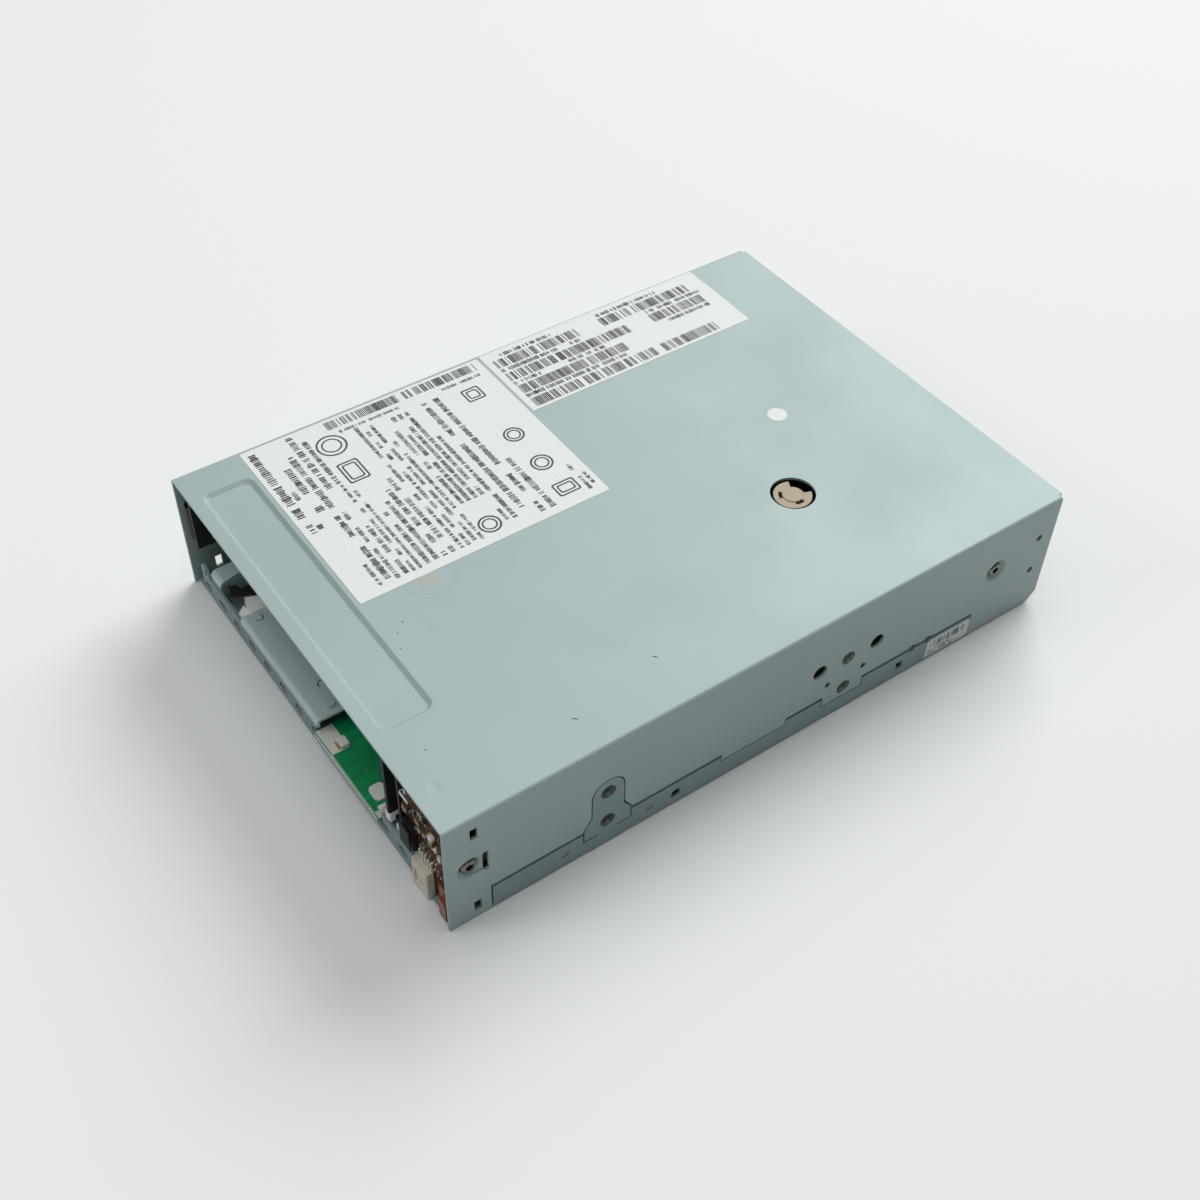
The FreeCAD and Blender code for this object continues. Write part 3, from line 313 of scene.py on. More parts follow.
FINISH_OF = {
    "cover": ("top_cover",),
    "tray": ("bottom_tray", "rear_plate"),
    "inner_sheet": ("cartridge_tray", "cam_plate_left", "cam_plate_right", "carriage_frame", "entry_plate",
                    "guide_bracket", "head_bridge", "threader_arm"),
    "casting": ("deck_casting", "head_carriage"),
    "bright": ("board_spacers", "hub_rotor", "hub_chuck", "pivot_posts", "head_rods", "lead_screw",
               "pin_grabber"),
    "motor": ("loader_motor", "supply_motor", "takeup_motor", "reel_rotor", "head_stepper",
              "threader_motor"),
    "roller": ("guide_roller_1", "guide_roller_2", "guide_roller_3", "guide_roller_4"),
    "bronze": ("reel_shaft", "e_clip"),
    "board": ("logic_board",),
    "film": ("panel_board",),
    "flex": ("flex_tail",),
    "black": ("loader_side_left", "loader_side_right", "lock_lever", "panel_backing", "switch_body",
              "switch_plunger", "guide_clip", "sas_connector", "library_port"),
    "chip": ("board_chips", "hub_magnet"),
    "white": ("sensor_block", "panel_foot"),
    "cream": ("panel_socket",),
    "gear": ("drive_gear", "loader_pinion", "threader_gear", "threader_pinion"),
    "reel": ("reel_hub", "reel_flange"),
    "lamp": ("indicator_lamps",),
    "ceramic": ("tape_head",),
}
FINISH = {}


def finish_nodes(*keys):
    """Give each CAD node of these finishes its material."""
    for key in keys:
        for node in FINISH_OF[key]:
            NODES[node].data.materials.clear()
            NODES[node].data.materials.append(FINISH[key])


# ---------------------------------------- mesh helpers
CREASE = math.radians(35.0)


def in_scene(name, data):
    """New object in the scene's collection."""
    made = bpy.data.objects.new(name, data)
    bpy.context.scene.collection.objects.link(made)
    return made


def mesh_object(name, bm, finish):
    """Object from a finished bmesh, with one finish."""
    mesh = bpy.data.meshes.new(name)
    bm.to_mesh(mesh)
    bm.free()
    mesh.materials.append(FINISH[finish])
    return in_scene(name, mesh)


def at(x, y, z):
    """Point from millimetres: x from the middle, y from the front edge, z above the base."""
    return Vector((x * MM, FRONT + y * MM, z * MM))


def add_block(bm, low, high, bevel):
    """Box between two corners, with bevelled edges."""
    corners = bmesh.ops.create_cube(bm, size=1.0)["verts"]
    bmesh.ops.scale(bm, vec=high - low, verts=corners)
    bmesh.ops.translate(bm, vec=(low + high) / 2.0, verts=corners)
    edges = list({e for v in corners for e in v.link_edges})
    bmesh.ops.bevel(bm, geom=edges, offset=bevel, segments=2, affect="EDGES", clamp_overlap=True)


def rounded_outline(x0, x1, y0, y1, radius, steps=6):
    """Corner points of a rounded rectangle, anticlockwise."""
    points = []
    for cx, cy, start in ((x1 - radius, y0 + radius, -90), (x1 - radius, y1 - radius, 0),
                          (x0 + radius, y1 - radius, 90), (x0 + radius, y0 + radius, 180)):
        for i in range(steps + 1):
            a = math.radians(start + 90.0 * i / steps)
            points.append((cx + radius * math.cos(a), cy + radius * math.sin(a)))
    return points


def circle_points(radius, count, x=0.0, y=0.0):
    """Points of a circle, anticlockwise."""
    turns = [2 * math.pi * i / count for i in range(count)]
    return [(x + radius * math.cos(a), y + radius * math.sin(a)) for a in turns]


def add_loop(bm, points, z):
    """Corners at one height, in the order of the points."""
    return [bm.verts.new((x, y, z)) for x, y in points]


def bridge(bm, loops):
    """Quads between each loop of corners and the next."""
    for a, b in zip(loops, loops[1:]):
        for i in range(len(a)):
            j = (i + 1) % len(a)
            bm.faces.new((a[i], a[j], b[j], b[i]))


def add_slab(bm, points, z0, z1):
    """Flat slab with the given outline between two heights."""
    lower, upper = add_loop(bm, points, z0), add_loop(bm, points, z1)
    bm.faces.new(list(reversed(lower)))
    bm.faces.new(upper)
    bridge(bm, (lower, upper))


def plan(x0, x1, y0, y1, radius):
    """Outline of a rounded rectangle that is given in millimetres."""
    low, high = at(x0, y0, 0), at(x1, y1, 0)
    return rounded_outline(low.x, high.x, low.y, high.y, radius * MM)


def turned(bm, profile, segments):
    """Solid of revolution about Z from (radius, height) points, bottom axis point to top axis point."""
    rings = []
    for radius, height in profile:
        points = circle_points(radius, segments) if radius > 1e-9 else [(0, 0)]
        rings.append(add_loop(bm, points, height))
    for lower, upper in zip(rings, rings[1:]):
        for i in range(segments):
            j = (i + 1) % segments
            corners = (lower[i % len(lower)], lower[j % len(lower)],
                       upper[j % len(upper)], upper[i % len(upper)])
            unique = list(dict.fromkeys(corners))
            if len(unique) > 2:
                bm.faces.new(unique)


def smooth(piece):
    """Smooth shading with creases kept sharp."""
    piece.data.shade_smooth()
    piece.data.set_sharp_from_angle(angle=CREASE)
    return piece


# ---------------------------------------- geometry nodes
class Tree:
    """A Geometry Nodes group with named inputs; add() makes a node and feeds its sockets by name."""

    def __init__(self, name, inputs):
        self.group = bpy.data.node_groups.new(name, "GeometryNodeTree")
        sockets = self.group.interface
        sockets.new_socket("Geometry", in_out="INPUT", socket_type="NodeSocketGeometry")
        for label, kind in inputs.items():
            sockets.new_socket(label, in_out="INPUT", socket_type=kind)
        sockets.new_socket("Geometry", in_out="OUTPUT", socket_type="NodeSocketGeometry")
        self.start = self.group.nodes.new("NodeGroupInput")
        self.end = self.group.nodes.new("NodeGroupOutput")

    def add(self, kind, settings=None, **inputs):
        node = self.group.nodes.new(kind)
        for key, value in (settings or {}).items():
            setattr(node, key, value)
        for key, value in inputs.items():
            self.feed(open_socket(node.inputs, key.replace("_", " ")), value)
        return node

    def feed(self, socket, value):
        if isinstance(value, bpy.types.NodeSocket):
            self.group.links.new(value, socket)
        else:
            socket.default_value = value

    def attribute(self, name, kind="FLOAT"):
        node = self.add("GeometryNodeInputNamedAttribute", {"data_type": kind}, Name=name)
        return open_socket(node.outputs, "Attribute")

    def math(self, operation, first, second):
        node = self.add("ShaderNodeMath", {"operation": operation})
        self.feed(node.inputs[0], first)
        self.feed(node.inputs[1], second)
        return node.outputs[0]

    def chance(self, identity, seed, low=0.0, high=1.0):
        node = self.add("FunctionNodeRandomValue", {"data_type": "FLOAT"},
                        Min=low, Max=high, ID=identity, Seed=seed)
        return open_socket(node.outputs, "Value")

    def vector(self, x, y, z):
        return self.add("ShaderNodeCombineXYZ", X=x, Y=y, Z=z).outputs[0]

    def finish(self, geometry):
        self.feed(self.end.inputs[0], geometry)
        return self.group


def open_socket(sockets, name):
    """The socket of that name that is in use, where a node keeps one for each data type."""
    return next(s for s in sockets if s.name == name and s.enabled)


def strokes_tree():
    """Rows of short printed strokes: each point carries its row's run, step, size, angle, ragged and fill."""
    t = Tree("Printed rows", {"Seed": "NodeSocketInt", "Ink Height": "NodeSocketFloat",
                              "Ink": "NodeSocketMaterial"})
    seed = t.start.outputs["Seed"]
    step = t.attribute("step")
    size = t.attribute("size")
    ragged = t.attribute("ragged")
    angle = t.attribute("angle")
    count = t.math("DIVIDE", t.attribute("run"), step)
    copies = t.add("GeometryNodeDuplicateElements", {"domain": "POINT"},
                   Geometry=t.start.outputs["Geometry"], Amount=count)
    turn = t.vector(0.0, 0.0, angle)
    along = t.math("MULTIPLY", copies.outputs["Duplicate Index"], step)
    shift = t.add("ShaderNodeVectorRotate", {"rotation_type": "EULER_XYZ"},
                  Vector=t.vector(along, 0.0, 0.0), Rotation=turn).outputs[0]
    moved = t.add("GeometryNodeSetPosition", Geometry=copies.outputs["Geometry"], Offset=shift)
    index = t.add("GeometryNodeInputIndex").outputs[0]
    inked = t.math("LESS_THAN", t.chance(index, seed), t.attribute("fill"))
    word = t.math("FLOOR", t.math("DIVIDE", index, 7.0), 0.0)
    gap = t.math("LESS_THAN", t.chance(word, seed), t.math("MULTIPLY", ragged, 0.14))
    shown = t.math("SUBTRACT", inked, gap)
    width = t.math("MULTIPLY", step, t.chance(index, t.math("ADD", seed, 1.0), 0.42, 1.0))
    cutback = t.math("MULTIPLY", ragged, t.chance(index, t.math("ADD", seed, 2.0), 0.0, 0.4))
    length = t.math("MULTIPLY", size, t.math("SUBTRACT", 1.0, cutback))
    stroke = t.add("GeometryNodeMeshCube", Size=(1.0, 1.0, 1.0)).outputs["Mesh"]
    placed = t.add("GeometryNodeInstanceOnPoints", Points=moved.outputs[0], Selection=shown,
                   Instance=stroke, Rotation=turn,
                   Scale=t.vector(width, length, t.start.outputs["Ink Height"]))
    real = t.add("GeometryNodeRealizeInstances", Geometry=placed.outputs[0])
    return t.finish(t.add("GeometryNodeSetMaterial", Geometry=real.outputs[0],
                          Material=t.start.outputs["Ink"]).outputs[0])


def parts_tree():
    """One small part on every point, turned and scaled as the point says."""
    t = Tree("Placed parts", {"Part": "NodeSocketObject", "Finish": "NodeSocketMaterial"})
    part = t.add("GeometryNodeObjectInfo", Object=t.start.outputs["Part"]).outputs["Geometry"]
    placed = t.add("GeometryNodeInstanceOnPoints", Points=t.start.outputs["Geometry"], Instance=part,
                   Rotation=t.attribute("turn", "FLOAT_VECTOR"), Scale=t.attribute("grow", "FLOAT_VECTOR"))
    real = t.add("GeometryNodeRealizeInstances", Geometry=placed.outputs[0])
    return t.finish(t.add("GeometryNodeSetMaterial", Geometry=real.outputs[0],
                          Material=t.start.outputs["Finish"]).outputs[0])


def grown(name, tree, points, values, inputs, body):
    """Run a node group over points that carry values, and keep the result as a plain mesh on a body."""
    seeds = bpy.data.meshes.new(name + "_points")
    seeds.from_pydata([tuple(p) for p in points], [], [])
    for key, column in values.items():
        if isinstance(column[0], float):
            layer = seeds.attributes.new(key, "FLOAT", "POINT")
            layer.data.foreach_set("value", column)
        else:
            layer = seeds.attributes.new(key, "FLOAT_VECTOR", "POINT")
            layer.data.foreach_set("vector", [c for vector in column for c in vector])
    holder = in_scene(name + "_points", seeds)
    modifier = holder.modifiers.new("Grow", "NODES")
    modifier.node_group = tree
    keys = {item.name: item.identifier for item in tree.interface.items_tree if item.in_out == "INPUT"}
    for label, value in inputs.items():
        modifier[keys[label]] = value
    bpy.context.view_layer.update()
    graph = bpy.context.evaluated_depsgraph_get()
    mesh = bpy.data.meshes.new_from_object(holder.evaluated_get(graph), preserve_all_data_layers=True,
                                           depsgraph=graph)
    bpy.data.objects.remove(holder)
    mesh.name = name
    if not mesh.polygons:
        raise RuntimeError(name + " grew nothing")
    for key in values:
        if key in mesh.attributes:
            mesh.attributes.remove(mesh.attributes[key])
    made = in_scene(name, mesh)
    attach(made, body)
    return made


def settled(piece, body):
    """A drawn piece, set on its body."""
    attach(piece, body)
    return piece


# ---------------------------------------- labels
BIG_LABEL = (-71.5, -1.0, 20.3, 99.6)
SMALL_LABEL = (-72.0, -41.3, 100.6, 182.0)
LABEL_ROWS = (            # (left x, right x, y, letter height) of each printed line
    (-11, -3.5, 97.5, 1.1), (-20.4, -3.5, 95.5, 1.2), (-31.5, -3.5, 82.8, 1.8), (-62, -3.5, 79.4, 1.8),
    (-62, -3.5, 75.3, 1.8), (-17, -3.5, 71.6, 1.5), (-48.5, -18.4, 71.4, 1.4), (-61.5, -18.4, 69.0, 1.4),
    (-61.5, -18.4, 66.8, 1.4), (-61.5, -18.4, 64.6, 1.4), (-55.5, -18.4, 62.4, 1.4), (-52, -3.5, 59.7, 1.2),
    (-62, -3.5, 57.6, 1.2), (-60, -3.5, 55.4, 1.2), (-63.5, -3.5, 53.3, 1.2), (-39, -3.5, 50.5, 1.5),
    (-35, -3.5, 48.0, 1.6), (-31, -3.5, 45.4, 1.5), (-27.5, -3.5, 42.8, 1.5), (-40, -3.5, 40.2, 1.1),
    (-44, -3.5, 38.2, 1.1), (-25.5, -3.5, 36.1, 1.4), (-34, -3.5, 33.4, 1.3), (-33.5, -3.5, 31.0, 1.9),
    (-15.5, -3.5, 28.2, 1.2), (-70, -44, 38.0, 1.5), (-70, -36.5, 35.0, 2.0), (-70, -36.5, 31.7, 2.0),
    (-70, -36.5, 28.6, 2.4), (-69, -37, 22.9, 2.5), (-49.4, -44.6, 25.6, 1.6), (-34.5, -30.5, 23.0, 1.8),
    (-34.5, -30.5, 25.4, 1.8), (-11.5, -6.0, 69.3, 1.2))
BAR_CODES = (             # (x, y start, y end, bar length) of each code
    (-68.6, 72.5, 97.5, 3.7), (-68.6, 46.5, 70.5, 3.7), (-65.6, 103, 134, 4.1), (-65.6, 142, 176, 4.1),
    (-58.5, 103, 148, 4.1), (-58.5, 156.5, 177, 4.1), (-51.6, 103, 142, 4.1), (-44.5, 103, 172, 4.1))
UPRIGHT_ROWS = (          # (x, y start, y end, letter height)
    (-64.6, 80, 97, 1.2), (-64.6, 49, 70, 1.2), (-69.2, 103, 126, 1.6), (-69.2, 142, 166, 1.6),
    (-62.1, 103, 132, 1.6), (-62.1, 157, 178.5, 1.6), (-55.1, 103, 137, 1.6), (-54.9, 157, 177, 1.6),
    (-48.2, 103, 140, 1.6))
MARK_RINGS = ((-60.5, 44.0, 4.6), (-7.8, 64.2, 3.4), (-35.6, 90.0, 3.2), (-21.0, 90.0, 3.4))
MARK_FRAMES = ((-47.6, 44.0, 4.6, 3.3), (-57.8, 90.0, 3.0, 3.0), (-8.6, 90.0, 2.8, 3.6))
SIDE_LABEL = (158.8, 175.4, 1.5, 8.2)      # y start, y end, low and high edge on the right wall
SIDE_ROWS = (             # (y start, height, run, step, letter height, ragged) of each printed line
    (160.0, 6.1, 13.6, 0.34, 2.6, 0.0), (160.0, 3.6, 10.0, 0.46, 1.0, 1.0),
    (160.0, 2.3, 13.0, 0.42, 0.8, 1.0))
TOP_SEED = 7
SIDE_SEED = 3
SEAL_Y = 159.4            # middle of the round seal
UPRIGHT = math.pi / 2     # turn of the rows that run along Y
LETTER = 1.15             # stroke height as a share of the letter height
BAR_STEP = 0.52           # distance between the bars of a code, in mm


class PrintTable:
    """Rows of strokes, gathered as columns for the printing tree; run, step and size come in millimetres."""

    def __init__(self):
        self.points = []
        self.values = {key: [] for key in ("run", "step", "size", "angle", "ragged", "fill")}

    def add(self, point, run, step, size, angle, ragged, fill):
        self.points.append(point)
        row = (run * MM, step * MM, size * MM, angle, ragged, fill)
        for key, value in zip(self.values, row):
            self.values[key].append(value)


def top_print(z):
    """Every printed row and bar code on the two labels of the cover."""
    table = PrintTable()
    for x0, x1, y, size in LABEL_ROWS:
        table.add(at(x0, y, z), x1 - x0, 0.36 * size, LETTER * size, 0.0, 1.0, 0.90)
    for x, y0, y1, size in UPRIGHT_ROWS:
        table.add(at(x, y0, z), y1 - y0, 0.40 * size, LETTER * size, UPRIGHT, 1.0, 0.80)
    for x, y0, y1, bar in BAR_CODES:
        table.add(at(x, y0, z), y1 - y0, BAR_STEP, bar, UPRIGHT, 0.0, 0.80)
    return table


def printed(name, table, seed, height):
    """The rows of a table in ink on the case."""
    return grown(name, strokes_tree(), table.points, table.values,
                 {"Seed": seed, "Ink Height": height, "Ink": FINISH["ink"]}, "chassis")


def add_band(bm, outer, inner, z, height):
    """Closed band between two outlines of equal length."""
    corners = ((outer, z), (outer, z + height), (inner, z + height), (inner, z))
    loops = [add_loop(bm, outline, level) for outline, level in corners]
    bridge(bm, loops + loops[:1])


def ring_mark(bm, x, y, radius, stroke, z, height):
    """Plain printed ring; its plan in millimetres, its heights in metres."""
    p = at(x, y, 0)
    outer, inner = (circle_points(r * MM, 40, p.x, p.y) for r in (radius, radius - stroke))
    add_band(bm, outer, inner, z, height)


def frame_mark(bm, x, y, half_x, half_y, stroke, z, height):
    """Plain printed frame with rounded corners, measured as the ring is."""
    outer = plan(x - half_x, x + half_x, y - half_y, y + half_y, 0.8)
    inner = plan(x - half_x + stroke, x + half_x - stroke, y - half_y + stroke, y + half_y - stroke, 0.5)
    add_band(bm, outer, inner, z, height)


def marks(z, height):
    """Double rings and double frames where the labels carry their marks."""
    bm = bmesh.new()
    for x, y, r in MARK_RINGS:
        ring_mark(bm, x, y, r, 0.6, z, height)
        ring_mark(bm, x, y, 0.66 * r, 0.5, z, height)
    for x, y, hx, hy in MARK_FRAMES:
        frame_mark(bm, x, y, hx, hy, 0.55, z, height)
        frame_mark(bm, x, y, hx - 1.1, hy - 1.1, 0.5, z, height)
    bmesh.ops.recalc_face_normals(bm, faces=bm.faces)
    return mesh_object("label_marks", bm, "ink")


class TAPEDRIVE_OT_labels(bpy.types.Operator):
    """Paper labels, their generic print and the round seal on the cover"""
    bl_idname = "tapedrive.labels"
    bl_label = "Labels"

    def execute(self, context):
        settings = context.scene.tapedrive_label
        z0, z1 = TOP - SUNK, TOP + settings.thickness
        bm = bmesh.new()
        for outline in (BIG_LABEL, SMALL_LABEL):
            add_slab(bm, plan(*outline, 0.6), z0, z1)
        settled(mesh_object("cover_labels", bm, "paper"), "chassis")
        bm = bmesh.new()
        middle = at(0.0, SEAL_Y, 0)
        add_slab(bm, circle_points(settings.dot_radius, 48, middle.x, middle.y), z0, z1)
        settled(mesh_object("round_seal", bm, "paper"), "chassis")
        table = top_print((z1 + settings.ink_height / 2) / MM)
        printed("label_print", table, TOP_SEED, settings.ink_height)
        settled(marks(z1, settings.ink_height), "chassis")
        self.side_label(settings)
        return {"FINISHED"}

    def side_label(self, settings):
        """Small label on the right wall; drawn flat, then stood up against the wall."""
        stand = Matrix(((0, 0, 1, CASE_HIGH.x), (1, 0, 0, 0), (0, 1, 0, 0), (0, 0, 0, 1)))
        bm = bmesh.new()
        y0, y1, low, high = SIDE_LABEL
        outline = rounded_outline(FRONT + y0 * MM, FRONT + y1 * MM, low * MM, high * MM, 0.5 * MM)
        add_slab(bm, outline, -SUNK, settings.thickness)
        label = mesh_object("side_label", bm, "paper")
        label.data.transform(stand)
        settled(label, "chassis")
        table = PrintTable()
        z = settings.thickness + settings.ink_height / 2
        for along, up, run, step, size, ragged in SIDE_ROWS:
            place = Vector((FRONT + along * MM, up * MM, z))
            table.add(place, run, step, size, 0.0, ragged, 0.7)
        printed("side_label_print", table, SIDE_SEED, settings.ink_height).data.transform(stand)


# ---------------------------------------- fasteners and holes
SCREW_SEATS = ((6.8, 22.3), (181.4, 24.3))       # (y, z) on each side wall
SEAT_DEPTH = 1.42
REAR_SCREWS = tuple((x, 202.45, z) for x in (-66.0, 66.0) for z in (12.0, 34.0))
BOARD_SCREWS = tuple((x, y, 4.85) for x in (-62, 62) for y in (24, 110, 190))
MOUNT_HOLES = ((47.4, 10.0), (47.4, 21.84), (126.65, 10.0), (126.65, 21.84))
THREAD = (2.38 * MM, 1.25 * MM, 1.15 * MM, 4)    # outer and core radius, depth, ridges
RIVETS = ((34.4, 5.4), (60.7, 5.2))
# Small holes in the side walls, each drawn as a black disc of painted shade: (y, z, radius)
WALL_HOLE_SHADES = ((120.2, 14.9, 0.9), (133.0, 14.9, 0.9), (197.5, 28.5, 1.1), (197.5, 15.7, 1.1))


def screw_mesh(radius, height, sides=24):
    """Pan head with a flat rim, a rounded crown and a six-lobe recess."""
    bm = bmesh.new()

    def circle(r, z, lobes=0.0):
        loop = []
        for i in range(sides):
            a = 2 * math.pi * i / sides
            rr = r * (1.0 + lobes * math.cos(6 * a))
            loop.append(bm.verts.new((rr * math.cos(a), rr * math.sin(a), z)))
        return loop

    lobe = 0.47 * radius
    loops = [circle(radius * 0.55, -0.5 * height), circle(radius * 0.55, 0.0), circle(radius, 0.0),
             circle(radius, 0.32 * height), circle(radius * 0.93, 0.68 * height),
             circle(radius * 0.78, 0.92 * height), circle(radius * 0.60, height),
             circle(lobe, height, 0.13), circle(lobe * 0.96, 0.30 * height, 0.13)]
    bridge(bm, loops)
    bm.faces.new(loops[-1])
    bm.faces.new(list(reversed(loops[0])))
    return bm


def thread_mesh(outer, core, depth, ridges):
    """Lead-in and first threads of a tapped hole, as a closed ridged ring below the face."""
    bm = bmesh.new()
    profile = [(outer + 0.05 * MM, -depth), (core, -depth)]
    for i in range(ridges):
        share = (i + 0.5) / ridges
        r = core + (outer - core) * share
        z = -depth * (1.0 - share)
        profile += [(r - 0.10 * MM, z - 0.03 * MM), (r + 0.10 * MM, z + 0.05 * MM)]
    profile += [(outer - 0.02 * MM, -0.04 * MM), (outer + 0.05 * MM, -0.05 * MM)]
    loops = [add_loop(bm, circle_points(r, 32), z) for r, z in profile]
    bridge(bm, loops + loops[:1])
    bmesh.ops.recalc_face_normals(bm, faces=bm.faces)
    return bm


def pattern_part(name, bm, finish):
    """Object that the placing tree copies; it is removed once the copies are made."""
    return smooth(mesh_object(name, bm, finish))


def placed(name, part, finish, spots, body, slot=None):
    """Copies of a part at (place, turn, scale) spots, as one mesh on a body."""
    places, turns, scales = zip(*spots)
    made = grown(name, parts_tree(), places, {"turn": turns, "grow": scales},
                 {"Part": part, "Finish": FINISH[finish]}, body)
    bpy.data.objects.remove(part)
    return smooth(made)


OUT_RIGHT = (0.0, math.pi / 2, 0.0)
OUT_LEFT = (0.0, -math.pi / 2, 0.0)
OUT_REAR = (-math.pi / 2, 0.0, 0.0)
OUT_DOWN = (math.pi, 0.0, 0.0)
SAME = (1.0, 1.0, 1.0)


def wall_spots(table, inset=0.0):
    """Spots on both side walls, inset below the face, from rows of y, z and, where given, a radius."""
    spots = []
    for y, z, *radius in table:
        grow = (radius[0], radius[0], 1.0) if radius else SAME
        spots.append((at(HALF_WIDTH - inset, y, z), OUT_RIGHT, grow))
        spots.append((at(inset - HALF_WIDTH, y, z), OUT_LEFT, grow))
    return spots


class TAPEDRIVE_OT_fasteners(bpy.types.Operator):
    """Case screws, board screws, rivets and the threads in the mounting holes"""
    bl_idname = "tapedrive.fasteners"
    bl_label = "Fasteners and holes"

    def execute(self, context):
        settings = context.scene.tapedrive_case
        head = pattern_part("screw_head", screw_mesh(settings.screw_radius, settings.screw_height), "screw")
        spots = wall_spots(SCREW_SEATS, SEAT_DEPTH)
        spots += [(at(*place), OUT_REAR, SAME) for place in REAR_SCREWS]
        spots += [(at(*place), OUT_DOWN, SAME) for place in BOARD_SCREWS]
        placed("case_screw_heads", head, "screw", spots, "chassis", "bright_steel")
        # The threads carry the near-black steel, painted shade for the inside of the tapped holes.
        threads = pattern_part("thread_ring", thread_mesh(*THREAD), "thread")
        placed("mounting_threads", threads, "thread", wall_spots(MOUNT_HOLES), "chassis", "bright_steel")
        self.rivets()
        return {"FINISHED"}

    def rivets(self):
        """Brown rivet ends in the skirt holes, and black discs in the cover wall as painted shade for its
        small holes.
        """
        bm = bmesh.new()
        turned(bm, [(0, -0.8 * MM), (1.0 * MM, -0.8 * MM), (1.0 * MM, -0.25 * MM), (0.7 * MM, -0.08 * MM),
                    (0, -0.03 * MM)], 20)
        rivet = pattern_part("rivet_end", bm, "bronze")
        placed("skirt_rivets", rivet, "bronze", wall_spots(RIVETS), "chassis")
        bm = bmesh.new()
        turned(bm, [(0, -0.3 * MM), (1.0 * MM, -0.3 * MM), (1.0 * MM, 0.012 * MM), (0, 0.015 * MM)], 24)
        # Painted shade: a black disc, a hair proud of the wall, for the dark inside of each small hole.
        hole_shade = pattern_part("wall_pit", bm, "black")
        placed("wall_pits", hole_shade, "black", wall_spots(WALL_HOLE_SHADES), "chassis")


# ---------------------------------------- finishes of the CAD pieces
class TAPEDRIVE_OT_case(bpy.types.Operator):
    """Plated steel on the cover, tray and rear plate"""
    bl_idname = "tapedrive.case"
    bl_label = "Case finish"

    def execute(self, context):
        scene = context.scene
        FINISH.update(finishes(scene.tapedrive_case, scene.tapedrive_label, scene.tapedrive_front))
        finish_nodes("cover", "tray")
        return {"FINISHED"}


class TAPEDRIVE_OT_mechanism(bpy.types.Operator):
    """Finishes of the deck, motors, reels, tape path, threader and loader"""
    bl_idname = "tapedrive.mechanism"
    bl_label = "Mechanism finishes"

    def execute(self, context):
        finish_nodes("inner_sheet", "casting", "bright", "motor", "roller", "bronze", "gear", "reel",
                     "ceramic", "chip")
        return {"FINISHED"}


# ---------------------------------------- pieces at the front opening
PANEL_BLOCKS = (          # name, finish, (x0, x1, out, back, z0, z1) measured out from the panel board
    ("panel_can", "silver", ((50.0, 53.8, 1.1, 0, 30.8, 31.5), (57.2, 58.6, 1.0, 0, 23.4, 25.0),
                             (59.2, 60.6, 0.8, 0, 23.6, 24.8), (58.3, 59.0, 0.7, 0, 29.1, 29.8))),
    ("panel_can_rim", "white", ((49.8, 54.0, 1.3, 1.1, 30.6, 31.6), (49.8, 50.1, 1.3, 0, 30.6, 31.6),
                                (62.7, 64.4, 1.2, 0, 26.9, 28.1))),
    ("panel_lime_side", "lime", ((62.3, 62.7, 1.1, 0, 26.9, 28.1), (62.4, 64.4, 1.1, 0, 26.5, 26.9))))
RESISTORS = (             # (x, z) of the small parts; every other one lies along X
    (49.6, 25.0), (51.6, 25.6), (56.8, 28.6), (59.4, 28.8), (60.4, 33.0),
    (66.4, 36.0), (54.6, 27.2), (61.8, 22.2), (55.0, 20.4), (66.9, 30.0))


def blocks(name, finish, boxes):
    """Several bevelled blocks, each given as x0, x1, y0, y1, z0, z1 in millimetres, as one piece."""
    bm = bmesh.new()
    for x0, x1, y0, y1, z0, z1 in boxes:
        low, high = at(x0, y0, z0), at(x1, y1, z1)
        add_block(bm, low, high, 0.12 * min(high - low))
    settled(smooth(mesh_object(name, bm, finish)), "chassis")


